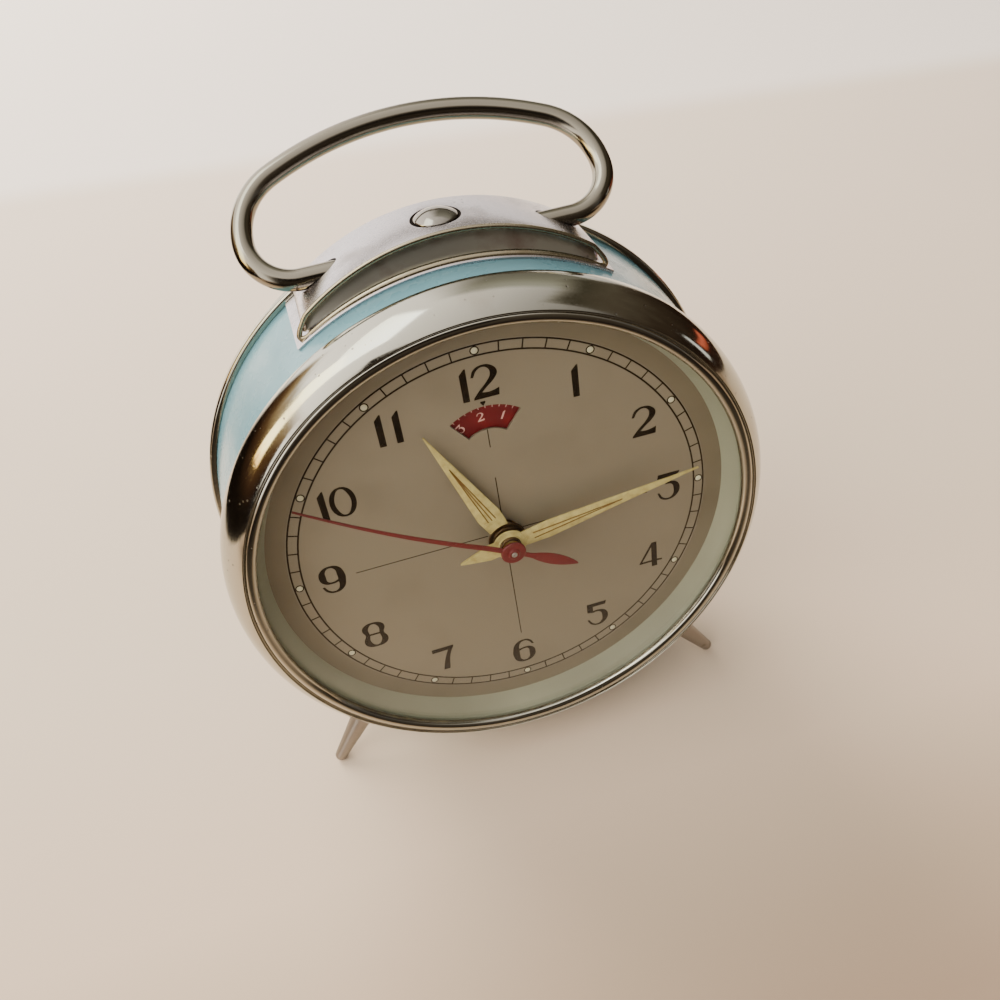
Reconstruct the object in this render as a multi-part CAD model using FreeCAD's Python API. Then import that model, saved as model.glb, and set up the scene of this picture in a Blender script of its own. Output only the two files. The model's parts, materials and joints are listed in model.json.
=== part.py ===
import FreeCAD, Part
import math
import os

from FreeCAD import Placement, Rotation, Vector

# Wind-up alarm clock in a round drum case, with a bail handle, a top stop button and two front feet.
# The model is drawn upright: X to the right of the dial, Y from the dial's face towards the back,
# Z towards twelve. The last section leans it back onto its feet. Sizes are millimetres.

# Gaps that repeat: between pieces fixed together, in bearings, and between pieces that pass each other
FIT_GAP = 0.05
BEARING_GAP = 0.05
CLEARANCE = 0.3
LAYER_AIR = 0.7

# How far a cutting tool runs past what it cuts
OVERRUN = 1.0

# Bezel: a quarter-round band of pressed sheet, a groove and a bead over the glass
BEZEL_RING_R = 45.9
BEZEL_TUBE_R = 9.0
BEZEL_SHEET = 0.8
BEZEL_GROOVE_DEG = 53.0
BEZEL_SEAT_DEG = 48.0
BEZEL_HEM_Y = 1.2
BEZEL_HEM_GAP = 0.15
GROOVE_W = 0.6
GROOVE_DEPTH = 0.45
BEAD_INSET = 2.8
BEAD_BULGE = 1.2
BEAD_LIP = 0.55
LIP_SEAT_Y = -5.85

# Crystal
CRYSTAL_LAP = 1.9
CRYSTAL_EDGE = 0.8
CRYSTAL_DOME = 4.5

# Case
DRUM_INSET = 0.7
DRUM_FLARE = 1.2
DRUM_WALL = 0.6
DRUM_FRONT_Y = -2.4
DRUM_BACK_ROOM = 3.7

# Dial and the sloping ring around it
RING_SLOPE_W = 1.8
RING_T = 0.7
DIAL_AIR = 1.2
DIAL_T = 0.5
DIAL_HOLE_R = 3.0
WINDOW_IN_R = 5.9
WINDOW_OUT_R = 11.0
WINDOW_HALF_DEG = 38.2
DISC_R = 12.4
DISC_T = 0.4
DISC_GAP = 0.4

# Rear rim and cover
RIM_PROUD = 1.4
RIM_W = 2.4
RIM_STEP = 1.0
RIM_EDGE_R = 0.6
RIM_LAP = 2.2
COVER_T = 0.6
COVER_BULGE = 3.8
COVER_BORDER = 5.6
COVER_SLOPE_W = 1.6
COVER_SCREW_INSET = 5.5
COVER_SCREW_DEG = (28.0, 152.0, 270.0)
COVER_SCREW_R = 1.2
COVER_SCREW_L = 4.5
COVER_SCREW_HEAD_R = 2.7
COVER_SCREW_HEAD_H = 1.6
COVER_SCREW_DOME = 1.0
COVER_POST_R = 2.1
SLOT_W = 0.8
SLOT_DEPTH = 0.7

# Saddle on top of the case
SADDLE_RISE = 6.4
SADDLE_FRONT_Y = 10.0
SADDLE_LENGTH = 16.0
SADDLE_HALF_W = 27.6
SADDLE_ARCH_R = 44.0
SADDLE_SHEET = 0.7
SADDLE_RECESS = 1.3
SADDLE_FOLD = 0.3
SADDLE_SUNK = 18.0
FLANGE_W = 1.8
FLANGE_T = 0.6
INNER_FLANGE_W = 5.2
RIVET_R = 1.2
RIVET_HEAD_R = 2.1
RIVET_HEAD_T = 0.65
RIVET_SEAT_GAP = 0.12
RIVET_X = 15.1
RIVET_BACK = 3.6

# Handle
HANDLE_WIRE_R = 2.0
HANDLE_HALF_W = 33.8
HANDLE_TOP_R = 60.0
HANDLE_HEIGHT = 26.6
HANDLE_CORNER_R = 8.5
HANDLE_END_X = 18.0
HANDLE_LEAN_DEG = 47.0
PIVOT_BACK = 9.0
PIVOT_DROP = 6.4
PIVOT_FIT = 0.08

# Stop button, its leaf spring and its lever
BUTTON_BACK = 7.5
BUTTON_R = 4.75
BUTTON_RISE = 1.3
BUTTON_GAP = 0.35
BUTTON_EDGE = 0.3
BUTTON_BODY_L = 3.0
BUTTON_CLIP_R = 2.6
BUTTON_CLIP_T = 0.5
BUTTON_STEM_R = 1.2
BUTTON_STEM_REACH = 5.0
LEAF_HALF_L = 9.5
LEAF_HALF_W = 3.0
LEAF_T = 0.25
STOP_PIVOT_AT = (14.0, 42.0)
STOP_FINGER_AT = (6.2, 36.5)
STOP_STUD_R = 1.2
STOP_EYE_W = 1.4
LEVER_T = 1.2
LEVER_HALF_W = 0.8

# Feet
FOOT_DEG = 51.65
FOOT_REACH = 21.4
FOOT_TIP_Y = 5.8
FOOT_BASE_Y = 8.8
FOOT_BASE_R = 3.2
FOOT_BASE_EDGE = 0.4
FOOT_TIP_R = 1.4
FOOT_FLAT = 0.15
FOOT_STUD_R = 1.5
FOOT_STUD_L = 5.0
FOOT_SEAT_GAP = 0.2
FOOT_NUT_GAP = 0.5
FOOT_NUT_R = 3.0
NUT_H = 1.8

# Movement plates
PLATE_T = 1.2
PLATE_SPACE = 14.7
PLATE_R = 46.5
PLATE_EAR_W = 8.0
PLATE_EAR_ROOT = 4.0
PLATE_EAR_DEG = (30.0, 150.0, 270.0)
PILLAR_R = 2.2
PILLAR_SCREW_R = 1.2
PILLAR_SCREW_END = 0.6
PILLAR_NUT_W = 0.6
PILLARS = ((-30.0, 30.0), (40.0, 2.0), (8.0, -40.0), (-43.0, -8.0))

# Depths of the wheels behind the front plate's inner face
GREAT_LAYER = 0.8
THIRD_LAYER = 2.4
ALARM_ESCAPE_LAYER = 2.6
FOURTH_LAYER = 4.8
FORK_LAYER = 8.3
BALANCE_LAYER = 11.0
CENTRE_LAYER = 12.8

# Arbors
ARBOR_R = 1.0
THIN_ARBOR_R = 0.6
CENTRE_SLEEVE_R = 1.6
WIND_ARBOR_R = 2.0
WIND_PIVOT_R = 1.2
PIVOT_R = 0.5
END_SHAKE = 0.2
HOLE_AIR = 0.8

# Gear teeth: heights are in modules, widths are shares of half a pitch
TOOTH_ADD = 0.65
TOOTH_DED = 0.95
TOOTH_ROOT = 0.66
TOOTH_TIP = 0.25
WHEEL_T = 0.8
WHEEL_RIM_W = 1.5
WHEEL_HUB_R = 3.8
PINION_LAP = 0.2

# Going train: tooth counts and modules
GREAT_TEETH = 72
GREAT_MODULE = 0.5
CENTRE_PINION = 12
CENTRE_TEETH = 64
CENTRE_MODULE = 0.45
THIRD_PINION = 8
THIRD_TEETH = 60
THIRD_MODULE = 0.4
FOURTH_PINION = 8
FOURTH_TEETH = 64
FOURTH_MODULE = 0.35
ESCAPE_PINION = 8
ESCAPE_TEETH = 15
ESCAPE_R = 6.5
ESCAPE_TOOTH = 1.5

# Motion work behind the dial
CANNON_TEETH = 18
MINUTE_TEETH = 54
CANNON_MODULE = 0.4
MINUTE_PINION = 12
HOUR_TEETH = 48
ALARM_GEAR_TEETH = 40
MOTION_W = 1.2
ALARM_WHEEL_T = 0.9
ALARM_HUB_R = 2.4
ALARM_HUB_L = 3.2
ALARM_NOTCH_W = 1.2
ALARM_PIN_R = 0.4
ALARM_PIN_HALF_L = 2.2

# Alarm train
ALARM_GREAT_TEETH = 60
ALARM_PINION = 10
ALARM_ESCAPE_TEETH = 16
ALARM_ESCAPE_R = 7.3
ALARM_ESCAPE_TOOTH = 1.6

# Arbor places on the plates, from the dial's centre
ALARM_ARBOR_Z = 19.17
THIRD_DEG = 145.0
CENTRE_FROM_THIRD_DEG = 197.0
GREAT_FROM_CENTRE_DEG = 287.0
BALANCE_LINE_DEG = -30.0
PALLET_SPACING = 8.6
BALANCE_SPACING = 10.5
ALARM_GREAT_AT = (24.0, 21.0)
ALARM_ESCAPE_DEG = 152.1
HAMMER_ARBOR_AT = (-1.2, 31.5)
BELL_AT = (5.0, -3.0)

# Winding: ratchets, clicks and mainsprings
RATCHET_TEETH = 18
RATCHET_TOOTH = 0.9
RATCHET_T = 1.0
TIME_RATCHET_R = 5.5
TIME_CLICK_R = 9.2
ALARM_RATCHET_R = 4.4
ALARM_CLICK_R = 7.2
CLICK_DEG = 60.0
CLICK_NOSE_DEG = 14.0
CLICK_PIN_R = 0.8
CLICK_EYE_R = 1.3
CLICK_HALF_W = 0.5
CLICK_T = 0.8
GREAT_W = 1.2
TIME_SPRING_R = 14.2
ALARM_SPRING_R = 12.2
SPRING_INNER_R = 2.9
SPRING_BAND = 0.4
SPRING_PITCH = 1.5
SPRING_BACK_AIR = 2.3

# Pallet lever, balance, hairspring and regulator
LINK_T = 0.7
LINK_HALF_W = 0.5
PALLET_PIN_R = 0.35
PALLET_DEG = 42.0
PALLET_AIR = 0.75
PALLET_ARBOR_R = 0.8
FORK_THROAT = 5.0
FORK_END = 3.1
FORK_HALF_DEG = 10.0
BALANCE_R = 9.3
BALANCE_RIM_W = 1.3
BALANCE_RIM_L = 1.4
BALANCE_ARM_DEG = 35.0
BALANCE_ARM_HALF_W = 0.7
ROLLER_R = 2.4
IMPULSE_R = 1.9
BALANCE_SCREW_R = 2.0
BALANCE_SCREW_PROUD = 1.7
SCREW_SLOT = 0.6
CUP_DEPTH = 1.1
HAIRSPRING_R = 5.6
HAIRSPRING_INNER_R = 1.6
HAIRSPRING_BAND = 0.15
HAIRSPRING_PITCH = 0.8
HAIRSPRING_W = 0.6
HAIRSPRING_BACK = 1.5
REGULATOR_R = 10.0
REGULATOR_DEG = 15.0
REGULATOR_SWING = 18.0
REGULATOR_RING_W = 1.6
REGULATOR_T = 0.8
POINTER_R = 0.9
POINTER_PROUD = 1.6
POINTER_AIR = 0.5

# Bell and hammer
BELL_R = 18.0
BELL_SHEET = 0.8
BELL_BEND_R = 2.4
BELL_POST_R = 1.8
BELL_AIR = 0.6
BELL_FRONT_AIR = 1.3
HAMMER_DEG = 131.0
HAMMER_HEAD_R = 2.6
HAMMER_HEAD_L = 4.4
HAMMER_GAP = 0.8
HAMMER_ARM_T = 1.0
HAMMER_TAIL_L = 7.5
HAMMER_TAIL_DEG = 15.0
HAMMER_PALLET_DEG = 38.0
HAMMER_PALLET_AIR = 1.35

# Hands: places in front of the dial, sizes, how far they stop short of its edge, and the time
HOUR_HAND_Y = -2.1
MINUTE_HAND_Y = -4.0
SECOND_HAND_Y = -6.6
HAND_T = 0.35
HAND_TIP_W = 0.1
HOUR_HAND_SHORT = 16.1
HOUR_HAND_W = 2.9
HOUR_WIDE_AT = 7.4
HOUR_ROOT_W = 1.9
HOUR_BOSS_R = 3.9
MINUTE_HAND_SHORT = 6.5
MINUTE_HAND_W = 2.6
MINUTE_WIDE_AT = 8.2
MINUTE_ROOT_W = 1.7
MINUTE_BOSS_R = 3.4
MINUTE_TAIL_L = 10.5
MINUTE_TAIL_W = 0.5
SECOND_HAND_SHORT = 3.1
SECOND_HAND_W = 0.6
SECOND_TIP_W = 0.18
SECOND_HAND_DROP = 1.9
SECOND_FLAT_L = 5.0
SECOND_TAIL_L = 14.6
SECOND_LEAF_FROM = 4.0
SECOND_LEAF_W = 1.7
SECOND_TAIL_W = 0.5
SECOND_HUB_R = 2.5
SECOND_COLLAR_R = 1.1
SECOND_COLLAR_L = 0.6
MINUTE_NOW = 13.5
HOUR_NOW = 11
SECOND_NOW = 50.0

# Nested tubes at the dial's centre
CENTRE_TUBE_R = 1.15
CENTRE_TUBE_END = 0.6
CANNON_R = 1.65
HOUR_PIPE_R = 2.2
PIPE_END = 0.3
MINUTE_STUD_R = 0.9
STUD_END = 0.5

# Winding keys and setting knobs
COVER_AIR = 1.4
KEY_HUB_R = 2.8
KEY_HUB_L = 5.2
KEY_HUB_BEVEL = 0.8
KEY_SEAT_L = 4.0
KEY_LOBE_R = 4.7
KEY_LOBE_X = 6.0
KEY_T = 1.6
KEY_LENGTH = 12.0
KEY_WEB_FROM = 3.6
KEY_WEB_L = 5.6
KNOB_R = 4.6
KNOB_H = 5.0
KNOB_HUB_W = 1.6
KNOB_HUB_L = 1.5
KNOB_RIDGES = 24
KNOB_SEAT = 1.0

# Radii that follow each other outwards and backwards
BEZEL_OUT_R = BEZEL_RING_R + BEZEL_TUBE_R
LIP_INNER_R = BEZEL_RING_R + BEAD_INSET
CRYSTAL_R = LIP_INNER_R + CRYSTAL_LAP
CRYSTAL_EDGE_Y = LIP_SEAT_Y + FIT_GAP + CRYSTAL_DOME * (1.0 - (LIP_INNER_R / CRYSTAL_R) ** 2)
DRUM_FRONT_R = BEZEL_OUT_R - BEZEL_SHEET - DRUM_INSET
DRUM_REAR_R = DRUM_FRONT_R + DRUM_FLARE
DIAL_EDGE_R = LIP_INNER_R - RING_SLOPE_W
DIAL_R = DRUM_FRONT_R - DRUM_WALL - DIAL_AIR
HOUR_HAND_L = DIAL_EDGE_R - HOUR_HAND_SHORT
MINUTE_HAND_L = DIAL_EDGE_R - MINUTE_HAND_SHORT
SECOND_HAND_L = DIAL_EDGE_R - SECOND_HAND_SHORT
RIM_R = DRUM_REAR_R + RIM_PROUD
COVER_FLAT_R = DRUM_REAR_R - COVER_BORDER
COVER_SCREW_AT_R = COVER_FLAT_R - COVER_SCREW_INSET
SADDLE_TOP_Z = DRUM_FRONT_R + SADDLE_RISE
BUTTON_STEM_END_Z = DRUM_FRONT_R - BUTTON_STEM_REACH
PIVOT_Z = SADDLE_TOP_Z - PIVOT_DROP
PIVOT_Y = SADDLE_FRONT_Y + PIVOT_BACK
BUTTON_Y = SADDLE_FRONT_Y + BUTTON_BACK

# Depths of the layers, from the dial towards the back
DISC_Y = DIAL_T + DISC_GAP
ALARM_WHEEL_Y = DISC_Y + DISC_T + LAYER_AIR
HOUR_WHEEL_Y = ALARM_WHEEL_Y + ALARM_WHEEL_T + LAYER_AIR
MOTION_Y = HOUR_WHEEL_Y + WHEEL_T + LAYER_AIR
FRONT_PLATE_Y = MOTION_Y + MOTION_W + LAYER_AIR
INSIDE_Y = FRONT_PLATE_Y + PLATE_T
INSIDE_FRONT_Y = INSIDE_Y + END_SHAKE
GREAT_Y = INSIDE_Y + GREAT_LAYER
RATCHET_Y = GREAT_Y + GREAT_W + CLEARANCE
THIRD_Y = INSIDE_Y + THIRD_LAYER
ALARM_ESCAPE_Y = INSIDE_Y + ALARM_ESCAPE_LAYER
MAINSPRING_Y = RATCHET_Y + RATCHET_T + LAYER_AIR
FOURTH_Y = INSIDE_Y + FOURTH_LAYER
FORK_Y = INSIDE_Y + FORK_LAYER
BALANCE_Y = INSIDE_Y + BALANCE_LAYER
CENTRE_Y = INSIDE_Y + CENTRE_LAYER
STOP_LEVER_Y = BUTTON_Y - LEVER_T / 2.0
REAR_PLATE_Y = INSIDE_Y + PLATE_SPACE
INSIDE_REAR_Y = REAR_PLATE_Y - END_SHAKE
MOVEMENT_BACK_Y = REAR_PLATE_Y + PLATE_T
DRUM_REAR_Y = MOVEMENT_BACK_Y + DRUM_BACK_ROOM
RIM_BACK_Y = DRUM_REAR_Y + RIM_STEP
COVER_BACK_Y = DRUM_REAR_Y + COVER_BULGE
KEY_FRONT_Y = COVER_BACK_Y + COVER_AIR


def polar(radius, degrees, centre=(0.0, 0.0)):
    """A point at a radius and angle from a centre, both in the dial's plane."""
    angle = math.radians(degrees)
    return (centre[0] + radius * math.cos(angle), centre[1] + radius * math.sin(angle))


def gap_between(a, b):
    """Distance between two points of the dial's plane."""
    return math.hypot(b[0] - a[0], b[1] - a[1])


def bearing(a, b):
    """Angle in degrees of the line from a to b in the dial's plane."""
    return math.degrees(math.atan2(b[1] - a[1], b[0] - a[0]))


def spacing(teeth_a, teeth_b, module):
    """Distance between the arbors of two gears in mesh."""
    return module * (teeth_a + teeth_b) / 2.0


def half_drop(radius, height):
    """Drop of a shallow dome at half its radius."""
    bend_r = (radius**2 + height**2) / (2.0 * height)
    return bend_r - math.sqrt(bend_r**2 - radius**2 / 4.0)


def drum_r(y):
    """Outer radius of the tapered drum at a depth."""
    share = (y - DRUM_FRONT_Y) / (DRUM_REAR_Y - DRUM_FRONT_Y)
    return DRUM_FRONT_R + share * (DRUM_REAR_R - DRUM_FRONT_R)


SECOND_AT = (0.0, 0.0)
ALARM_AT = (0.0, ALARM_ARBOR_Z)
THIRD_AT = polar(spacing(THIRD_TEETH, FOURTH_PINION, THIRD_MODULE), THIRD_DEG)
CENTRE_AT = polar(spacing(CENTRE_TEETH, THIRD_PINION, CENTRE_MODULE), CENTRE_FROM_THIRD_DEG, THIRD_AT)
GREAT_AT = polar(spacing(GREAT_TEETH, CENTRE_PINION, GREAT_MODULE), GREAT_FROM_CENTRE_DEG, CENTRE_AT)
ESCAPE_AT = polar(spacing(FOURTH_TEETH, ESCAPE_PINION, FOURTH_MODULE), BALANCE_LINE_DEG)
PALLET_AT = polar(PALLET_SPACING, BALANCE_LINE_DEG, ESCAPE_AT)
BALANCE_AT = polar(BALANCE_SPACING, BALANCE_LINE_DEG, PALLET_AT)
MINUTE_SPACING = spacing(CANNON_TEETH, MINUTE_TEETH, CANNON_MODULE)
HOUR_MODULE = 2.0 * MINUTE_SPACING / (MINUTE_PINION + HOUR_TEETH)
ALARM_GEAR_MODULE = ALARM_ARBOR_Z / ALARM_GEAR_TEETH
ALARM_ESCAPE_SPACING = spacing(ALARM_GREAT_TEETH, ALARM_PINION, GREAT_MODULE)
ALARM_ESCAPE_AT = polar(ALARM_ESCAPE_SPACING, ALARM_ESCAPE_DEG, ALARM_GREAT_AT)


def minute_wheel_place():
    """Arbor in mesh with both the cannon pinion and the pinion on the centre arbor."""
    half = gap_between(SECOND_AT, CENTRE_AT) / 2.0
    rise = math.sqrt(MINUTE_SPACING**2 - half**2)
    along = bearing(SECOND_AT, CENTRE_AT)
    foot = polar(half, along)
    return polar(rise, along + 90.0, foot)


def meshed(teeth_a, phase_a, at_a, teeth_b, at_b):
    """Phase of gear b that puts its gap opposite a tooth of gear a on the line of centres."""
    line = bearing(at_a, at_b)
    turned = teeth_a * (phase_a - line)
    return line + 180.0 + (180.0 - turned) / teeth_b


MINUTE_AT = minute_wheel_place()
SET_PHASE = 0.0
MINUTE_PHASE = meshed(CANNON_TEETH, SET_PHASE, CENTRE_AT, MINUTE_TEETH, MINUTE_AT)
CANNON_PHASE = meshed(MINUTE_TEETH, MINUTE_PHASE, MINUTE_AT, CANNON_TEETH, SECOND_AT)
HOUR_PHASE = meshed(MINUTE_PINION, 0.0, MINUTE_AT, HOUR_TEETH, SECOND_AT)
ALARM_PHASE = 0.0
CENTRE_PHASE = meshed(GREAT_TEETH, 0.0, GREAT_AT, CENTRE_PINION, CENTRE_AT)
MINUTE_DEG = 6.0 * MINUTE_NOW
HOUR_DEG = 30.0 * (HOUR_NOW + MINUTE_NOW / 60.0)
SECOND_DEG = 6.0 * SECOND_NOW

# Solids are made by these helpers


def outline(steps, place):
    """Closed wire: (a, b) ends a straight line, (ma, mb, a, b) ends an arc through its middle."""
    edges = []
    start = place(*steps[0])
    here = start
    for step in list(steps[1:]) + [steps[0]]:
        there = place(*step[-2:])
        if (there - here).Length < 1e-7:
            continue
        if len(step) == 4:
            edges.append(Part.Arc(here, place(*step[:2]), there).toShape())
        else:
            edges.append(Part.LineSegment(here, there).toShape())
        here = there
    return Part.Wire(edges)


def upright(shape):
    """The shape with its material on the inside."""
    if shape.Volume < 0.0:
        shape.reverse()
    return shape


def lathe(steps, at=(0.0, 0.0, 0.0), along=(0.0, 1.0, 0.0)):
    """Turned solid: steps are (radius, distance along the axis)."""
    face = Part.Face(outline(steps, lambda r, h: Vector(r, 0.0, h)))
    solid = upright(face.revolve(Vector(0, 0, 0), Vector(0, 0, 1), 360.0))
    solid.Placement = Placement(Vector(*at), Rotation(Vector(0, 0, 1), Vector(*along)))
    return solid


def slab(steps, y, depth):
    """Flat plate: steps are (x, z) in the dial's plane, from y towards the back."""
    face = Part.Face(outline(steps, lambda x, z: Vector(x, y, z)))
    return upright(face.extrude(Vector(0.0, depth, 0.0)))


def rod(radius, y0, y1, at=(0.0, 0.0)):
    """Round bar along the depth, from y0 to y1."""
    return Part.makeCylinder(radius, y1 - y0, Vector(at[0], y0, at[1]), Vector(0, 1, 0))


def hole(radius, y, depth, at=(0.0, 0.0)):
    """Cutting rod through a layer that starts at y, past both of its faces."""
    return rod(radius, y - OVERRUN, y + depth + OVERRUN, at)


def tube(outer, inner, y0, y1, at=(0.0, 0.0)):
    """Round tube along the depth."""
    return rod(outer, y0, y1, at).cut(hole(inner, y0, y1 - y0, at))


def round_to(start, end, centre):
    """Arc step from start to end round a centre, for an outline."""
    across = (start[0] + end[0] - 2.0 * centre[0], start[1] + end[1] - 2.0 * centre[1])
    scale = gap_between(centre, start) / math.hypot(*across)
    return (centre[0] + across[0] * scale, centre[1] + across[1] * scale) + tuple(end)


def joined(*shapes):
    """One solid from touching or overlapping shapes."""
    return shapes[0].multiFuse(list(shapes[1:])).removeSplitter()


def sector(at, r_in, r_out, from_deg, to_deg, y, depth):
    """Part of a flat ring between two angles."""
    mid = (from_deg + to_deg) / 2.0
    steps = [
        polar(r_in, from_deg, at),
        polar(r_out, from_deg, at),
        polar(r_out, mid, at) + polar(r_out, to_deg, at),
        polar(r_in, to_deg, at),
        polar(r_in, mid, at) + polar(r_in, from_deg, at),
    ]
    return slab(steps, y, depth)


def gear(teeth, module, y, depth, at, phase_deg, bore_r=0.0):
    """Spur gear with straight-sided teeth, the middle of one tooth at phase_deg."""
    pitch_r = teeth * module / 2.0
    half = 180.0 / teeth
    levels = (
        (pitch_r - TOOTH_DED * module, -TOOTH_ROOT),
        (pitch_r + TOOTH_ADD * module, -TOOTH_TIP),
        (pitch_r + TOOTH_ADD * module, TOOTH_TIP),
        (pitch_r - TOOTH_DED * module, TOOTH_ROOT),
    )
    steps = []
    for tooth in range(teeth):
        middle = phase_deg + 2.0 * half * tooth
        steps += [polar(radius, middle + share * half, at) for radius, share in levels]
    body = slab(steps, y, depth)
    if bore_r:
        body = body.cut(hole(bore_r, y, depth, at))
    return body


def saw_wheel(teeth, tip_r, tooth, y, depth, at, bore_r):
    """Wheel with hooked teeth, as on a ratchet or an escape wheel."""
    step = 360.0 / teeth
    steps = []
    for number in range(teeth):
        steps += [polar(tip_r - tooth, step * number, at), polar(tip_r, step * number, at)]
    return slab(steps, y, depth).cut(hole(bore_r, y, depth, at))


def lightened(wheel, teeth, module, at, count, y):
    """Wheel with a ring of round holes through it, between its hub and its rim."""
    rim_r = module * (teeth / 2.0 - TOOTH_DED) - WHEEL_RIM_W
    ring_r = (rim_r + WHEEL_HUB_R) / 2.0
    places = [polar(ring_r, 360.0 * (k + 0.5) / count, at) for k in range(count)]
    return wheel.cut([hole(rim_r - ring_r, y, ALARM_WHEEL_T, place) for place in places])


def arbor(at, radius=ARBOR_R):
    """Arbor between the plates, with a thinner pivot through each plate."""
    steps = [
        (0.0, FRONT_PLATE_Y),
        (PIVOT_R, FRONT_PLATE_Y),
        (PIVOT_R, INSIDE_FRONT_Y),
        (radius, INSIDE_FRONT_Y),
        (radius, INSIDE_REAR_Y),
        (PIVOT_R, INSIDE_REAR_Y),
        (PIVOT_R, MOVEMENT_BACK_Y),
        (0.0, MOVEMENT_BACK_Y),
    ]
    return lathe(steps, at=(at[0], 0.0, at[1]))


def spiral(at, inner_r, outer_r, pitch, band, y, depth):
    """Flat spiral spring: half turns whose centres take turns on the arbor and beside it."""
    halves = int(2.0 * (outer_r - inner_r) / pitch)
    outer_edges = []
    inner_edges = []
    for k in range(halves):
        radius = inner_r + k * pitch / 2.0
        upper = k % 2 == 0
        x = at[0] if upper else at[0] + pitch / 2.0
        side = 1.0 if upper else -1.0
        for edges, r in ((outer_edges, radius + band / 2.0), (inner_edges, radius - band / 2.0)):
            a = Vector(x + side * r, y, at[1])
            b = Vector(x, y, at[1] + side * r)
            c = Vector(x - side * r, y, at[1])
            edges.append(Part.Arc(a, b, c).toShape())
    start = Part.LineSegment(inner_edges[0].Vertexes[0].Point, outer_edges[0].Vertexes[0].Point)
    end = Part.LineSegment(outer_edges[-1].Vertexes[-1].Point, inner_edges[-1].Vertexes[-1].Point)
    edges = outer_edges + [end.toShape(), start.toShape()] + inner_edges
    face = Part.Face(Part.Wire(Part.__sortEdges__(edges)))
    return upright(face.extrude(Vector(0.0, depth, 0.0)))


def drum_cone(extra, y0, y1):
    """Solid cone that follows the outside of the drum, larger by extra."""
    start = Vector(0, y0, 0)
    return Part.makeCone(drum_r(y0) + extra, drum_r(y1) + extra, y1 - y0, start, Vector(0, 1, 0))


# Case, bezel, crystal and dial


def case_drum():
    """Painted drum with an inner ledge for the dial and holes for the feet, button and rivets."""
    ledge_y = DIAL_T + FIT_GAP
    ledge_back = ledge_y + DRUM_WALL
    ledge_r = DIAL_EDGE_R + RING_T
    steps = [
        (DRUM_FRONT_R, DRUM_FRONT_Y),
        (DRUM_REAR_R, DRUM_REAR_Y),
        (DRUM_REAR_R - DRUM_WALL, DRUM_REAR_Y),
        (drum_r(ledge_back) - DRUM_WALL, ledge_back),
        (ledge_r, ledge_back),
        (ledge_r, ledge_y),
        (drum_r(ledge_y) - DRUM_WALL, ledge_y),
        (DRUM_FRONT_R - DRUM_WALL, DRUM_FRONT_Y),
    ]
    cuts = [upright_hole(BUTTON_STEM_R + CLEARANCE, BUTTON_STEM_END_Z, SADDLE_TOP_Z)]
    for side in (-1.0, 1.0):
        start, along, length = foot_line(side)
        back = start - along * FOOT_STUD_L
        cuts.append(Part.makeCylinder(FOOT_STUD_R + FIT_GAP, length, back, along))
        cuts.append(rivet_hole(side))
    return lathe(steps).cut(cuts)


def front_bezel():
    """Pressed ring: a quarter-round band, a groove and a bead that holds the crystal."""
    outer = BEZEL_TUBE_R
    inner = BEZEL_TUBE_R - BEZEL_SHEET
    hem_r = DRUM_FRONT_R + BEZEL_HEM_GAP

    def on_band(radius, degrees):
        angle = math.radians(degrees)
        return (BEZEL_RING_R + radius * math.cos(angle), -radius * math.sin(angle))

    edge_r, edge_y = on_band(outer, BEZEL_GROOVE_DEG)
    steps = [
        (hem_r, BEZEL_HEM_Y),
        (BEZEL_OUT_R, BEZEL_HEM_Y),
        (BEZEL_OUT_R, 0.0),
        on_band(outer, BEZEL_GROOVE_DEG / 2.0) + (edge_r, edge_y),
        (edge_r - GROOVE_W / 2.0, edge_y + GROOVE_DEPTH),
        (edge_r - GROOVE_W, edge_y + GROOVE_DEPTH / 2.0),
        (LIP_INNER_R + BEAD_BULGE, edge_y - BEZEL_HEM_GAP, LIP_INNER_R, LIP_SEAT_Y - BEAD_LIP),
        (LIP_INNER_R, LIP_SEAT_Y),
        (CRYSTAL_R + CLEARANCE, LIP_SEAT_Y),
        on_band(inner, BEZEL_SEAT_DEG),
        on_band(inner, BEZEL_SEAT_DEG / 2.0) + (BEZEL_RING_R + inner, 0.0),
        (BEZEL_RING_R + inner, BEZEL_HEM_Y - BEZEL_SHEET),
        (hem_r, BEZEL_HEM_Y - BEZEL_SHEET),
    ]
    return lathe(steps)


def crystal():
    """Domed glass, its edge under the bezel's bead."""
    half_r = CRYSTAL_R / 2.0
    front = CRYSTAL_EDGE_Y - CRYSTAL_DOME
    half_y = front + half_drop(CRYSTAL_R, CRYSTAL_DOME)
    steps = [
        (0.0, front),
        (half_r, half_y, CRYSTAL_R, CRYSTAL_EDGE_Y),
        (CRYSTAL_R, CRYSTAL_EDGE_Y + CRYSTAL_EDGE),
        (half_r, half_y + CRYSTAL_EDGE, 0.0, front + CRYSTAL_EDGE),
    ]
    return lathe(steps)


def inner_ring():
    """Sloping painted ring from the dial's edge up to the crystal."""
    top_y = CRYSTAL_EDGE_Y + CRYSTAL_EDGE + FIT_GAP
    top_r = LIP_INNER_R + 2.0 * FIT_GAP
    steps = [
        (DIAL_EDGE_R, -FIT_GAP),
        (top_r, top_y),
        (CRYSTAL_R, top_y),
        (CRYSTAL_R, top_y + RING_T),
        (top_r + RING_T, top_y + RING_T),
        (DIAL_EDGE_R + RING_T, -FIT_GAP),
    ]
    return lathe(steps)


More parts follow.
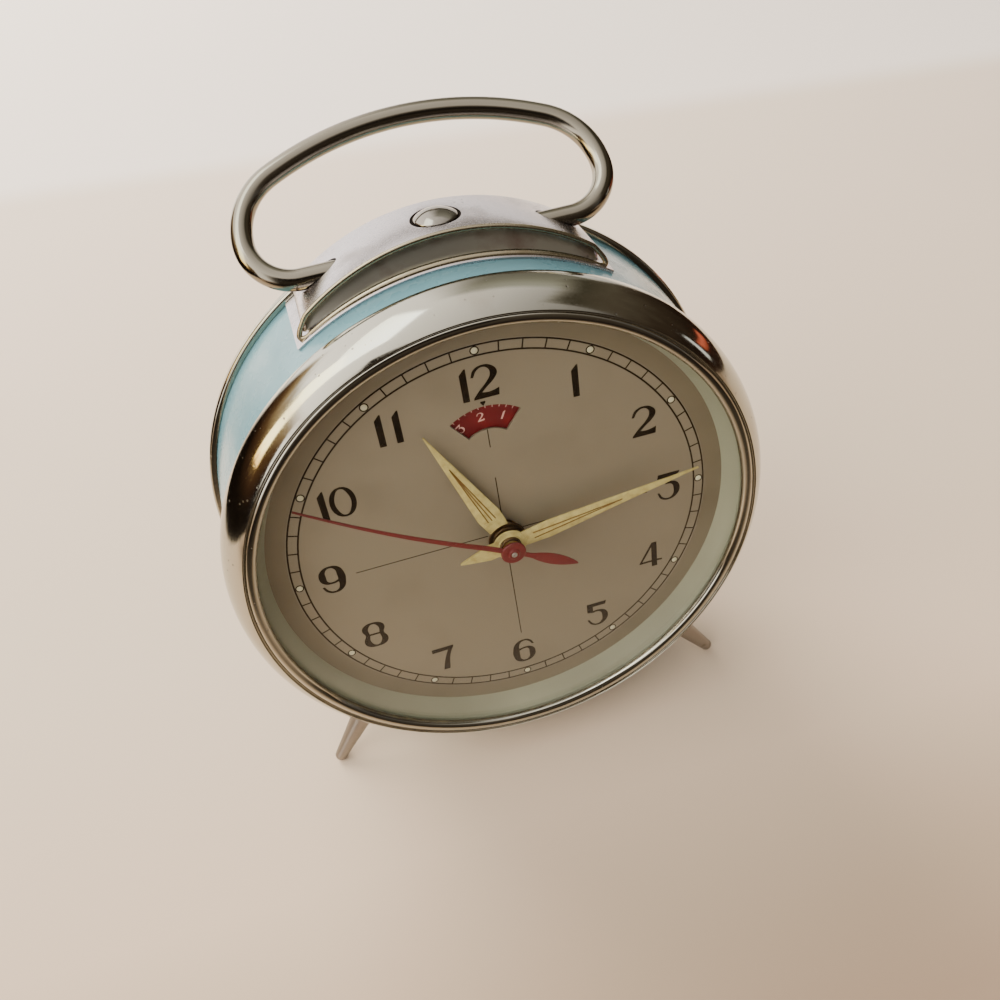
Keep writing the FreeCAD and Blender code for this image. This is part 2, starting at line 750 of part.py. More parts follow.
def dial_plate():
    """Flat dial with a centre hole and the alarm window."""
    window = sector(
        ALARM_AT,
        WINDOW_IN_R,
        WINDOW_OUT_R,
        90.0 - WINDOW_HALF_DEG,
        90.0 + WINDOW_HALF_DEG,
        -OVERRUN,
        DIAL_T + 2.0 * OVERRUN,
    )
    return rod(DIAL_R, 0.0, DIAL_T).cut([hole(DIAL_HOLE_R, 0.0, DIAL_T), window])


def rear_rim():
    """Bright ring that closes the drum at the back, with rounded edges."""
    back = RIM_BACK_Y
    front = back - RIM_W
    seat = DRUM_REAR_Y + FIT_GAP
    flat_r = RIM_R - RIM_EDGE_R
    inner = DRUM_REAR_R + FIT_GAP
    front_turn = round_to((flat_r, front), (RIM_R, front + RIM_EDGE_R), (flat_r, front + RIM_EDGE_R))
    back_turn = round_to((RIM_R, back - RIM_EDGE_R), (flat_r, back), (flat_r, back - RIM_EDGE_R))
    steps = [
        (inner, front),
        (flat_r, front),
        front_turn,
        (RIM_R, back - RIM_EDGE_R),
        back_turn,
        (DRUM_REAR_R - RIM_LAP, back),
        (DRUM_REAR_R - RIM_LAP, seat),
        (inner, seat),
    ]
    return lathe(steps)


def cover_screw_places():
    """Centres of the screws that hold the rear cover."""
    return [polar(COVER_SCREW_AT_R, angle) for angle in COVER_SCREW_DEG]


def regulator_slot():
    """Arc slot for the regulator's pointer."""
    half_w = POINTER_R + POINTER_AIR
    swing = REGULATOR_SWING + math.degrees(2.0 * half_w / REGULATOR_R)
    return sector(
        BALANCE_AT,
        REGULATOR_R - half_w,
        REGULATOR_R + half_w,
        REGULATOR_DEG - swing,
        REGULATOR_DEG + swing,
        DRUM_REAR_Y,
        COVER_BULGE + OVERRUN,
    )


def rear_cover():
    """Dished back with holes for the keys, knobs, screws and the regulator."""
    flange_r = DRUM_REAR_R - DRUM_WALL - 2.0 * FIT_GAP
    steps = [
        (0.0, COVER_BACK_Y - COVER_T),
        (COVER_FLAT_R - COVER_T / 2.0, COVER_BACK_Y - COVER_T),
        (COVER_FLAT_R + COVER_SLOPE_W - COVER_T / 2.0, DRUM_REAR_Y - COVER_T),
        (flange_r, DRUM_REAR_Y - COVER_T),
        (flange_r, DRUM_REAR_Y),
        (COVER_FLAT_R + COVER_SLOPE_W, DRUM_REAR_Y),
        (COVER_FLAT_R, COVER_BACK_Y),
        (0.0, COVER_BACK_Y),
    ]
    holes = [(WIND_ARBOR_R + HOLE_AIR, at) for at in (GREAT_AT, ALARM_GREAT_AT)]
    holes += [(ARBOR_R + HOLE_AIR, at) for at in (CENTRE_AT, ALARM_AT)]
    holes += [(COVER_SCREW_R + FIT_GAP, at) for at in cover_screw_places()]
    cuts = [hole(radius, DRUM_REAR_Y, COVER_BULGE, at) for radius, at in holes]
    return lathe(steps).cut(cuts + [regulator_slot()])


def cover_screw(at):
    """Round-headed screw with a slot."""
    seat = COVER_BACK_Y + FIT_GAP
    top = COVER_BACK_Y + COVER_SCREW_HEAD_H
    edge = top - COVER_SCREW_DOME
    mid_drop = half_drop(COVER_SCREW_HEAD_R, COVER_SCREW_DOME)
    steps = [
        (0.0, COVER_BACK_Y - COVER_SCREW_L),
        (COVER_SCREW_R, COVER_BACK_Y - COVER_SCREW_L),
        (COVER_SCREW_R, seat),
        (COVER_SCREW_HEAD_R, seat),
        (COVER_SCREW_HEAD_R, edge),
        (COVER_SCREW_HEAD_R / 2.0, top - mid_drop, 0.0, top),
    ]
    screw = lathe(steps, at=(at[0], 0.0, at[1]))
    return screw.cut(driver_slot(COVER_SCREW_HEAD_R, SLOT_W, top, SLOT_DEPTH, at))


def driver_slot(head_r, width, top, depth, at):
    """Cutting block for a slot across a screw's head."""
    corner = Vector(at[0] - head_r - OVERRUN, top - depth, at[1] - width / 2.0)
    return Part.makeBox(2.0 * (head_r + OVERRUN), depth + OVERRUN, width, corner)


# Feet


def foot_line(side):
    """Where a foot leaves the drum, its direction and its length to the tip."""
    out = polar(1.0, -FOOT_DEG)
    base_r = drum_r(FOOT_BASE_Y)
    tip_r = drum_r(FOOT_TIP_Y) + FOOT_REACH
    start = Vector(side * base_r * out[0], FOOT_BASE_Y, base_r * out[1])
    along = Vector(side * tip_r * out[0], FOOT_TIP_Y, tip_r * out[1]) - start
    length = along.Length
    along.normalize()
    return start, along, length


def foot(side):
    """Tapered steel foot with a round tip and a threaded stud through the drum."""
    start, along, length = foot_line(side)
    tip = (0.0, length + FOOT_TIP_R)
    steps = [
        (0.0, -FOOT_STUD_L),
        (FOOT_STUD_R, -FOOT_STUD_L),
        (FOOT_STUD_R, FOOT_SEAT_GAP),
        (FOOT_BASE_R, FOOT_SEAT_GAP + FOOT_BASE_EDGE),
        (FOOT_TIP_R, length),
        round_to((FOOT_TIP_R, length), tip, (0.0, length)),
    ]
    return lathe(steps, at=tuple(start), along=tuple(along))


def hexagon(across_r, height, bore_r, at, along):
    """Six-sided nut standing on a point along a direction."""
    steps = [polar(across_r, 60.0 * k) for k in range(6)]
    face = Part.Face(outline(steps, lambda x, y: Vector(x, y, 0.0)))
    nut = upright(face.extrude(Vector(0, 0, height)))
    nut = nut.cut(Part.makeCylinder(bore_r, height + 2.0 * OVERRUN, Vector(0, 0, -OVERRUN)))
    nut.Placement = Placement(at, Rotation(Vector(0, 0, 1), along))
    return nut


def foot_nut(side):
    """Nut inside the drum on a foot's stud."""
    start, along, _ = foot_line(side)
    seat = start - along * (DRUM_WALL + FOOT_NUT_GAP)
    return hexagon(FOOT_NUT_R, NUT_H, FOOT_STUD_R + FIT_GAP, seat, along * -1.0)


def foot_room(side):
    """Space inside the drum that a foot's stud and nut need."""
    start, along, _ = foot_line(side)
    reach = FOOT_STUD_L + CLEARANCE
    return Part.makeCylinder(FOOT_NUT_R + CLEARANCE, reach, start - along * reach, along)


# Saddle, handle and stop button


def rivet_line(side):
    """Where a saddle rivet passes the drum's outside, and its direction outwards."""
    y = SADDLE_FRONT_Y + SADDLE_LENGTH - RIVET_BACK
    out = Vector(side * RIVET_X, 0.0, math.sqrt(drum_r(y) ** 2 - RIVET_X**2))
    start = out + Vector(0.0, y, 0.0)
    out.normalize()
    return start, out


def rivet_hole(side):
    """Hole for a saddle rivet through the drum and the bridge's inner flange."""
    start, out = rivet_line(side)
    length = DRUM_WALL + FLANGE_T + 2.0 * OVERRUN
    return Part.makeCylinder(RIVET_R + FIT_GAP, length, start - out * (DRUM_WALL + OVERRUN), out)


def upright_hole(radius, z0, z1):
    """Cutting rod for the button, between two heights."""
    return Part.makeCylinder(radius, z1 - z0, Vector(0.0, BUTTON_Y, z0))


def arch(inset, y, depth):
    """Bridge outline filled down into the drum, smaller all round by inset."""
    half = SADDLE_HALF_W - inset
    radius = SADDLE_ARCH_R - inset
    centre_z = SADDLE_TOP_Z - SADDLE_ARCH_R
    shoulder = centre_z + math.sqrt(radius**2 - half**2)
    low = DRUM_FRONT_R - SADDLE_SUNK
    steps = [
        (-half, low),
        (-half, shoulder),
        (0.0, centre_z + radius, half, shoulder),
        (half, low),
    ]
    return slab(steps, y, depth)


def saddle():
    """Bright bridge on the drum: arched top, set-back front, closed back and thin foot flanges."""
    y0 = SADDLE_FRONT_Y
    y1 = SADDLE_FRONT_Y + SADDLE_LENGTH
    inside_y = y0 + SADDLE_RECESS + SADDLE_SHEET
    recess = arch(SADDLE_SHEET + SADDLE_FOLD, y0 - OVERRUN, SADDLE_RECESS + OVERRUN)
    hollow = arch(SADDLE_SHEET, inside_y, y1 - SADDLE_SHEET - inside_y)
    open_part = arch(SADDLE_SHEET, inside_y, y1 - INNER_FLANGE_W - inside_y)
    shell = arch(0.0, y0, SADDLE_LENGTH).cut([recess, hollow])
    half_deg = math.degrees(math.asin((SADDLE_HALF_W + FLANGE_W) / DRUM_REAR_R))
    flange_y = y0 - FLANGE_W
    wedge = sector(
        (0.0, 0.0),
        DRUM_FRONT_R / 2.0,
        DRUM_REAR_R + 2.0 * FLANGE_T,
        90.0 - half_deg,
        90.0 + half_deg,
        flange_y,
        y1 - flange_y,
    )
    band = drum_cone(FLANGE_T, flange_y, y1).common(wedge).cut(open_part)
    cuts = [
        drum_cone(FIT_GAP, flange_y - OVERRUN, y1 + OVERRUN),
        upright_hole(BUTTON_R + BUTTON_GAP, BUTTON_STEM_END_Z, SADDLE_TOP_Z + OVERRUN),
    ]
    for side in (-1.0, 1.0):
        start = Vector(side * (HANDLE_END_X - OVERRUN), PIVOT_Y, PIVOT_Z)
        cuts.append(
            Part.makeCylinder(HANDLE_WIRE_R + PIVOT_FIT, SADDLE_HALF_W, start, Vector(side, 0.0, 0.0))
        )
        cuts.append(rivet_hole(side))
    return joined(shell, band).cut(cuts)


def saddle_rivets():
    """Two rivets through the drum and the bridge's inner flange, headed at both ends."""
    low = -DRUM_WALL - RIVET_SEAT_GAP
    high = FLANGE_T + RIVET_SEAT_GAP
    steps = [
        (0.0, low - RIVET_HEAD_T),
        (RIVET_HEAD_R, low - RIVET_HEAD_T),
        (RIVET_HEAD_R, low),
        (RIVET_R, low),
        (RIVET_R, high),
        (RIVET_HEAD_R, high),
        (RIVET_HEAD_R, high + RIVET_HEAD_T),
        (0.0, high + RIVET_HEAD_T),
    ]
    pieces = []
    for side in (-1.0, 1.0):
        start, out = rivet_line(side)
        pieces.append(lathe(steps, at=tuple(start), along=tuple(out)))
    return pieces


def handle():
    """Round wire loop: straight ends in the bridge, tight lower corners and a long shallow top."""
    wire = HANDLE_WIRE_R
    half = HANDLE_HALF_W
    low_r = HANDLE_CORNER_R
    top_centre = HANDLE_HEIGHT - HANDLE_TOP_R
    rise = low_r - top_centre
    side_r = (HANDLE_TOP_R**2 - half**2 - rise**2) / (2.0 * (HANDLE_TOP_R - half))
    side_x = half - side_r
    meet = math.atan2(rise, side_x)
    lean = math.radians(HANDLE_LEAN_DEG)

    def place(u, v):
        return Vector(u, PIVOT_Y + v * math.sin(lean), PIVOT_Z + v * math.cos(lean))

    def on_side(sign, angle):
        return place(sign * (side_x + side_r * math.cos(angle)), low_r + side_r * math.sin(angle))

    def on_corner(sign, angle):
        return place(sign * (half - low_r + low_r * math.cos(angle)), low_r + low_r * math.sin(angle))

    right = [
        Part.LineSegment(place(HANDLE_END_X, 0.0), place(half - low_r, 0.0)),
        Part.Arc(on_corner(1.0, -math.pi / 2.0), on_corner(1.0, -math.pi / 4.0), on_corner(1.0, 0.0)),
        Part.Arc(on_side(1.0, 0.0), on_side(1.0, meet / 2.0), on_side(1.0, meet)),
    ]
    left = [
        Part.Arc(on_side(-1.0, meet), on_side(-1.0, meet / 2.0), on_side(-1.0, 0.0)),
        Part.Arc(on_corner(-1.0, 0.0), on_corner(-1.0, -math.pi / 4.0), on_corner(-1.0, -math.pi / 2.0)),
        Part.LineSegment(place(low_r - half, 0.0), place(-HANDLE_END_X, 0.0)),
    ]
    top = Part.Arc(on_side(1.0, meet), place(0.0, HANDLE_HEIGHT), on_side(-1.0, meet))
    path = Part.Wire([piece.toShape() for piece in right + [top] + left])
    ring = Part.Wire(
        [Part.Circle(place(HANDLE_END_X, 0.0), Vector(1.0, 0.0, 0.0), wire).toShape()]
    )
    return upright(path.makePipeShell([ring], True, False))


def stop_button():
    """Domed button on a stem, kept in by a clip on the stem inside the drum."""
    top = SADDLE_TOP_Z + BUTTON_RISE
    edge = SADDLE_TOP_Z + BUTTON_EDGE
    body_low = SADDLE_TOP_Z - BUTTON_BODY_L
    clip_top = drum_r(BUTTON_Y) - DRUM_WALL - CLEARANCE
    clip_low = clip_top - BUTTON_CLIP_T
    steps = [
        (0.0, BUTTON_STEM_END_Z),
        (BUTTON_STEM_R, BUTTON_STEM_END_Z),
        (BUTTON_STEM_R, clip_low),
        (BUTTON_CLIP_R, clip_low),
        (BUTTON_CLIP_R, clip_top),
        (BUTTON_STEM_R, clip_top),
        (BUTTON_STEM_R, body_low),
        (BUTTON_R, body_low),
        (BUTTON_R, edge),
        (BUTTON_R / 2.0, top - half_drop(BUTTON_R, top - edge), 0.0, top),
    ]
    return lathe(steps, at=(0.0, BUTTON_Y, 0.0), along=(0.0, 0.0, 1.0))


def button_spring():
    """Bowed leaf under the button, its ends on the drum."""
    high = SADDLE_TOP_Z - BUTTON_BODY_L - 2.0 * FIT_GAP
    seat = math.sqrt(drum_r(BUTTON_Y + LEAF_HALF_W) ** 2 - LEAF_HALF_L**2)
    end = seat + LEAF_T + 2.0 * FIT_GAP
    steps = [
        (-LEAF_HALF_L, end),
        (0.0, high, LEAF_HALF_L, end),
        (LEAF_HALF_L, end - LEAF_T),
        (0.0, high - LEAF_T, -LEAF_HALF_L, end - LEAF_T),
    ]
    leaf = slab(steps, BUTTON_Y - LEAF_HALF_W, 2.0 * LEAF_HALF_W)
    return leaf.cut(upright_hole(BUTTON_STEM_R + CLEARANCE, end, SADDLE_TOP_Z))


# Movement plates and what stands on them


def bar(a, b, half_w, y, depth):
    """Flat link with round ends between two points of the dial's plane."""
    along = bearing(a, b)
    steps = [
        polar(half_w, along + 90.0, a),
        polar(half_w, along + 180.0, a) + polar(half_w, along - 90.0, a),
        polar(half_w, along - 90.0, b),
        polar(half_w, along, b) + polar(half_w, along + 90.0, b),
    ]
    return slab(steps, y, depth)


def bearing_holes(places, y):
    """Holes through a plate: each place is a point and the radius that runs in it."""
    return [hole(radius + BEARING_GAP, y, PLATE_T, at) for at, radius in places]


def front_plate():
    """Front movement plate with ears to the drum, the fixed centre tube and the minute stud."""
    y = FRONT_PLATE_Y
    inside = y + STUD_END
    reach = drum_r(y) - DRUM_WALL - FIT_GAP
    ears = [
        bar(polar(PLATE_R - PLATE_EAR_ROOT, a), polar(reach, a), PLATE_EAR_W / 2.0, y, PLATE_T)
        for a in PLATE_EAR_DEG
    ]
    plate = joined(rod(PLATE_R, y, INSIDE_Y), *ears).common(rod(reach, y, INSIDE_Y))
    centre_tube = rod(CENTRE_TUBE_R, MINUTE_HAND_Y + CENTRE_TUBE_END, inside)
    stud = rod(MINUTE_STUD_R, HOUR_WHEEL_Y - STUD_END, inside, MINUTE_AT)
    plate = joined(plate, centre_tube, stud)
    pivots = [THIRD_AT, ESCAPE_AT, PALLET_AT, BALANCE_AT, ALARM_ESCAPE_AT, HAMMER_ARBOR_AT]
    places = [(at, PIVOT_R) for at in pivots]
    places += [(at, PILLAR_SCREW_R) for at in PILLARS]
    places += [(CENTRE_AT, ARBOR_R), (ALARM_AT, ARBOR_R)]
    places += [(GREAT_AT, WIND_PIVOT_R), (ALARM_GREAT_AT, WIND_PIVOT_R)]
    seconds = rod(THIN_ARBOR_R + BEARING_GAP, MINUTE_HAND_Y, INSIDE_Y + OVERRUN)
    notches = [foot_room(side) for side in (-1.0, 1.0)]
    return plate.cut(bearing_holes(places, y) + [seconds] + notches)


def back_plate():
    """Back movement plate with posts for the rear cover and a stud for the stop lever."""
    y = REAR_PLATE_Y
    post_end = COVER_BACK_Y - COVER_T - FIT_GAP
    posts = [rod(COVER_POST_R, y + STUD_END, post_end, at) for at in cover_screw_places()]
    stop_stud = rod(STOP_STUD_R, STOP_LEVER_Y - STUD_END, y + STUD_END, STOP_PIVOT_AT)
    plate = joined(rod(PLATE_R, y, MOVEMENT_BACK_Y), stop_stud, *posts)
    pivots = [SECOND_AT, THIRD_AT, ESCAPE_AT, PALLET_AT, ALARM_ESCAPE_AT]
    places = [(at, PIVOT_R) for at in pivots]
    places += [(at, PILLAR_SCREW_R) for at in PILLARS]
    places += [(CENTRE_AT, ARBOR_R), (ALARM_AT, ARBOR_R), (HAMMER_ARBOR_AT, ARBOR_R)]
    places += [(GREAT_AT, WIND_ARBOR_R), (ALARM_GREAT_AT, WIND_ARBOR_R)]
    places += [(BALANCE_AT, BALANCE_SCREW_R)]
    thread_r = COVER_SCREW_R + FIT_GAP
    thread_y = COVER_BACK_Y - COVER_SCREW_L
    threads = [hole(thread_r, thread_y, COVER_SCREW_L, at) for at in cover_screw_places()]
    return plate.cut(bearing_holes(places, y) + threads)


def pillar(at):
    """Pillar between the plates, thinner where it passes through them."""
    end = MOVEMENT_BACK_Y + NUT_H + PILLAR_SCREW_END
    steps = [
        (0.0, FRONT_PLATE_Y),
        (PILLAR_SCREW_R, FRONT_PLATE_Y),
        (PILLAR_SCREW_R, INSIDE_Y),
        (PILLAR_R, INSIDE_Y),
        (PILLAR_R, REAR_PLATE_Y),
        (PILLAR_SCREW_R, REAR_PLATE_Y),
        (PILLAR_SCREW_R, end),
        (0.0, end),
    ]
    return lathe(steps, at=(at[0], 0.0, at[1]))


def plate_nuts():
    """Nuts on the pillars behind the back plate."""
    back = Vector(0, 1, 0)
    seats = [Vector(at[0], MOVEMENT_BACK_Y, at[1]) for at in PILLARS]
    nut_r = PILLAR_R + PILLAR_NUT_W
    return [hexagon(nut_r, NUT_H, PILLAR_SCREW_R + FIT_GAP, seat, back) for seat in seats]


# Motion work


def set_arbor():
    """Arbor that carries the hand-setting knob at the back and a pinion behind the dial."""
    shaft = rod(ARBOR_R, MOTION_Y - LAYER_AIR / 2.0, KEY_FRONT_Y + KNOB_H - KNOB_SEAT, CENTRE_AT)
    pinion = gear(CANNON_TEETH, CANNON_MODULE, MOTION_Y, MOTION_W, CENTRE_AT, SET_PHASE)
    return joined(shaft, pinion)


def cannon_pinion():
    """Pinion and tube that carry the minute hand, running on the fixed centre tube."""
    pinion = gear(CANNON_TEETH, CANNON_MODULE, MOTION_Y, MOTION_W, SECOND_AT, CANNON_PHASE)
    sleeve_y = MINUTE_HAND_Y - HAND_T - PIPE_END
    end_y = MOTION_Y + MOTION_W
    bore = hole(CENTRE_TUBE_R + BEARING_GAP, sleeve_y, end_y - sleeve_y)
    return joined(pinion, rod(CANNON_R, sleeve_y, end_y)).cut(bore)


def minute_wheel():
    """Wheel and pinion on the fixed stud, between the cannon pinion and the hour wheel."""
    wheel_y = MOTION_Y + PINION_LAP
    pinion_y = HOUR_WHEEL_Y - PINION_LAP
    wheel = gear(MINUTE_TEETH, CANNON_MODULE, wheel_y, WHEEL_T, MINUTE_AT, MINUTE_PHASE)
    wheel = lightened(wheel, MINUTE_TEETH, CANNON_MODULE, MINUTE_AT, 4, wheel_y)
    pinion = gear(MINUTE_PINION, HOUR_MODULE, pinion_y, wheel_y + PINION_LAP - pinion_y, MINUTE_AT, 0.0)
    bore = hole(MINUTE_STUD_R + BEARING_GAP, pinion_y, wheel_y + WHEEL_T - pinion_y, MINUTE_AT)
    return joined(wheel, pinion).cut(bore)


def hour_wheel():
    """Hour wheel with its pipe and the gear that turns the alarm wheel."""
    wheel = gear(HOUR_TEETH, HOUR_MODULE, HOUR_WHEEL_Y, WHEEL_T, SECOND_AT, HOUR_PHASE)
    wheel = lightened(wheel, HOUR_TEETH, HOUR_MODULE, SECOND_AT, 5, HOUR_WHEEL_Y)
    driver = gear(
        ALARM_GEAR_TEETH, ALARM_GEAR_MODULE, ALARM_WHEEL_Y, ALARM_WHEEL_T, SECOND_AT, ALARM_PHASE
    )
    pipe_y = HOUR_HAND_Y - HAND_T - PIPE_END
    end_y = HOUR_WHEEL_Y + WHEEL_T
    bore = hole(CANNON_R + BEARING_GAP, pipe_y, end_y - pipe_y)
    return joined(wheel, rod(HOUR_PIPE_R, pipe_y, end_y), driver).cut(bore)


def alarm_wheel():
    """Twelve-hour wheel that runs loose on the alarm arbor, with a release notch in its hub."""
    phase = meshed(ALARM_GEAR_TEETH, ALARM_PHASE, SECOND_AT, ALARM_GEAR_TEETH, ALARM_AT)
    wheel = gear(
        ALARM_GEAR_TEETH, ALARM_GEAR_MODULE, ALARM_WHEEL_Y, ALARM_WHEEL_T, ALARM_AT, phase
    )
    hub = rod(ALARM_HUB_R, ALARM_WHEEL_Y, ALARM_WHEEL_Y + ALARM_HUB_L, ALARM_AT)
    notch_at = polar(2.0 * ALARM_HUB_R, 90.0, ALARM_AT)
    notch_y = ALARM_WHEEL_Y + ALARM_HUB_L - WHEEL_T
    notch = bar(ALARM_AT, notch_at, ALARM_NOTCH_W / 2.0, notch_y, WHEEL_T + OVERRUN)
    bore = hole(ARBOR_R + BEARING_GAP, ALARM_WHEEL_Y, ALARM_HUB_L, ALARM_AT)
    return joined(wheel, hub).cut([notch, bore])


def alarm_arbor():
    """Arbor from the alarm disc behind the dial to the alarm knob at the back, with a cross pin."""
    shaft = rod(ARBOR_R, DIAL_T + CLEARANCE, KEY_FRONT_Y + KNOB_H - KNOB_SEAT, ALARM_AT)
    pin_y = ALARM_WHEEL_Y + ALARM_HUB_L + CLEARANCE + ALARM_PIN_R
    start = Vector(-ALARM_PIN_HALF_L, pin_y, ALARM_ARBOR_Z)
    pin = Part.makeCylinder(ALARM_PIN_R, 2.0 * ALARM_PIN_HALF_L, start, Vector(1, 0, 0))
    return joined(shaft, pin)


def alarm_disc():
    """Round disc with the alarm hours, behind the dial's window."""
    return tube(DISC_R, ARBOR_R + FIT_GAP, DISC_Y, DISC_Y + DISC_T, ALARM_AT)


# Going train


def winding_arbor(at, ratchet_r):
    """Winding arbor with its ratchet wheel, from the front plate to the key."""
    shoulder = KEY_FRONT_Y - CLEARANCE
    steps = [
        (0.0, FRONT_PLATE_Y),
        (WIND_PIVOT_R, FRONT_PLATE_Y),
        (WIND_PIVOT_R, INSIDE_FRONT_Y),
        (WIND_ARBOR_R, INSIDE_FRONT_Y),
        (WIND_ARBOR_R, shoulder),
        (WIND_PIVOT_R, shoulder),
        (WIND_PIVOT_R, KEY_FRONT_Y + KEY_SEAT_L),
        (0.0, KEY_FRONT_Y + KEY_SEAT_L),
    ]
    shaft = lathe(steps, at=(at[0], 0.0, at[1]))
    ratchet = saw_wheel(
        RATCHET_TEETH, ratchet_r, RATCHET_TOOTH, RATCHET_Y, RATCHET_T, at, WIND_PIVOT_R
    )
    return joined(shaft, ratchet)


def great_wheel(teeth, phase, at, click_r):
    """Great wheel, free on its winding arbor, with a hole for the click's pin."""
    wheel = gear(teeth, GREAT_MODULE, GREAT_Y, GREAT_W, at, phase, WIND_ARBOR_R + BEARING_GAP)
    return wheel.cut(hole(CLICK_PIN_R + FIT_GAP, GREAT_Y, GREAT_W, polar(click_r, CLICK_DEG, at)))


def click(at, click_r, ratchet_r):
    """Pawl on the great wheel, held just clear of the ratchet's teeth."""
    pin_at = polar(click_r, CLICK_DEG, at)
    nose = polar(ratchet_r + CLEARANCE + CLICK_HALF_W, CLICK_NOSE_DEG, at)
    pawl = bar(pin_at, nose, CLICK_HALF_W, RATCHET_Y, CLICK_T)
    eye = rod(CLICK_EYE_R, RATCHET_Y, RATCHET_Y + CLICK_T, pin_at)
    pin = rod(CLICK_PIN_R, GREAT_Y, RATCHET_Y + CLICK_T, pin_at)
    return joined(pawl, eye, pin)


def centre_wheel():
    """Centre wheel and pinion on a sleeve, held to the setting arbor by friction."""
    wheel = gear(CENTRE_TEETH, CENTRE_MODULE, CENTRE_Y, ALARM_WHEEL_T, CENTRE_AT, 0.0)
    wheel = lightened(wheel, CENTRE_TEETH, CENTRE_MODULE, CENTRE_AT, 4, CENTRE_Y)
    pinion = pinion_for(CENTRE_PINION, GREAT_MODULE, GREAT_Y, GREAT_W, CENTRE_AT, CENTRE_PHASE)
    sleeve = rod(CENTRE_SLEEVE_R, INSIDE_FRONT_Y, INSIDE_REAR_Y, CENTRE_AT)
    bore = hole(ARBOR_R + BEARING_GAP, INSIDE_Y, PLATE_SPACE, CENTRE_AT)
    return joined(wheel, pinion, sleeve).cut(bore)


def pinion_for(teeth, module, wheel_y, wheel_t, at, phase):
    """Pinion a little wider than the wheel that drives it."""
    return gear(teeth, module, wheel_y - PINION_LAP, wheel_t + 2.0 * PINION_LAP, at, phase)


def third_wheel():
    """Third wheel and pinion."""
    wheel = gear(THIRD_TEETH, THIRD_MODULE, THIRD_Y, WHEEL_T, THIRD_AT, 0.0)
    wheel = lightened(wheel, THIRD_TEETH, THIRD_MODULE, THIRD_AT, 4, THIRD_Y)
    phase = meshed(CENTRE_TEETH, 0.0, CENTRE_AT, THIRD_PINION, THIRD_AT)
    pinion = pinion_for(THIRD_PINION, CENTRE_MODULE, CENTRE_Y, ALARM_WHEEL_T, THIRD_AT, phase)
    return joined(arbor(THIRD_AT), wheel, pinion)


def fourth_wheel():
    """Seconds arbor through the dial, with the fourth wheel and its pinion."""
    front = SECOND_HAND_Y - HAND_T - STUD_END
    steps = [
        (0.0, front),
        (THIN_ARBOR_R, front),
        (THIN_ARBOR_R, INSIDE_FRONT_Y),
        (ARBOR_R, INSIDE_FRONT_Y),
        (ARBOR_R, INSIDE_REAR_Y),
        (PIVOT_R, INSIDE_REAR_Y),
        (PIVOT_R, MOVEMENT_BACK_Y),
        (0.0, MOVEMENT_BACK_Y),
    ]
    wheel = gear(FOURTH_TEETH, FOURTH_MODULE, FOURTH_Y, WHEEL_T, SECOND_AT, 0.0)
    wheel = lightened(wheel, FOURTH_TEETH, FOURTH_MODULE, SECOND_AT, 5, FOURTH_Y)
    phase = meshed(THIRD_TEETH, 0.0, THIRD_AT, FOURTH_PINION, SECOND_AT)
    pinion = pinion_for(FOURTH_PINION, THIRD_MODULE, THIRD_Y, WHEEL_T, SECOND_AT, phase)
    return joined(lathe(steps), wheel, pinion)


def escape_wheel():
    """Escape wheel and pinion."""
    phase = meshed(FOURTH_TEETH, 0.0, SECOND_AT, ESCAPE_PINION, ESCAPE_AT)
    pinion = pinion_for(ESCAPE_PINION, FOURTH_MODULE, FOURTH_Y, WHEEL_T, ESCAPE_AT, phase)
    wheel = saw_wheel(ESCAPE_TEETH, ESCAPE_R, ESCAPE_TOOTH, FORK_Y, LINK_T, ESCAPE_AT, PIVOT_R)
    return joined(arbor(ESCAPE_AT), pinion, wheel)


def pallet_fork():
    """Lever with two pallet pins and a forked end, set just clear of its neighbours."""
    back = bearing(PALLET_AT, ESCAPE_AT)
    ahead = bearing(PALLET_AT, BALANCE_AT)
    y = FORK_Y - LINK_T - CLEARANCE
    pieces = [arbor(PALLET_AT, PALLET_ARBOR_R)]
    for turn in (-PALLET_DEG, PALLET_DEG):
        pin_at = polar(ESCAPE_R + PALLET_AIR + PALLET_PIN_R, back + 180.0 + turn, ESCAPE_AT)
        pieces.append(bar(PALLET_AT, pin_at, LINK_HALF_W, y, LINK_T))
        pieces.append(rod(PALLET_PIN_R, y, FORK_Y + LINK_T, pin_at))
    throat = polar(BALANCE_SPACING - FORK_THROAT, ahead, PALLET_AT)
    pieces.append(bar(PALLET_AT, throat, LINK_HALF_W, y, LINK_T))
    for side in (-1.0, 1.0):
        horn = polar(BALANCE_SPACING - FORK_END, ahead + side * FORK_HALF_DEG, PALLET_AT)
        pieces.append(bar(throat, horn, PALLET_PIN_R, y, LINK_T))
    return joined(*pieces)


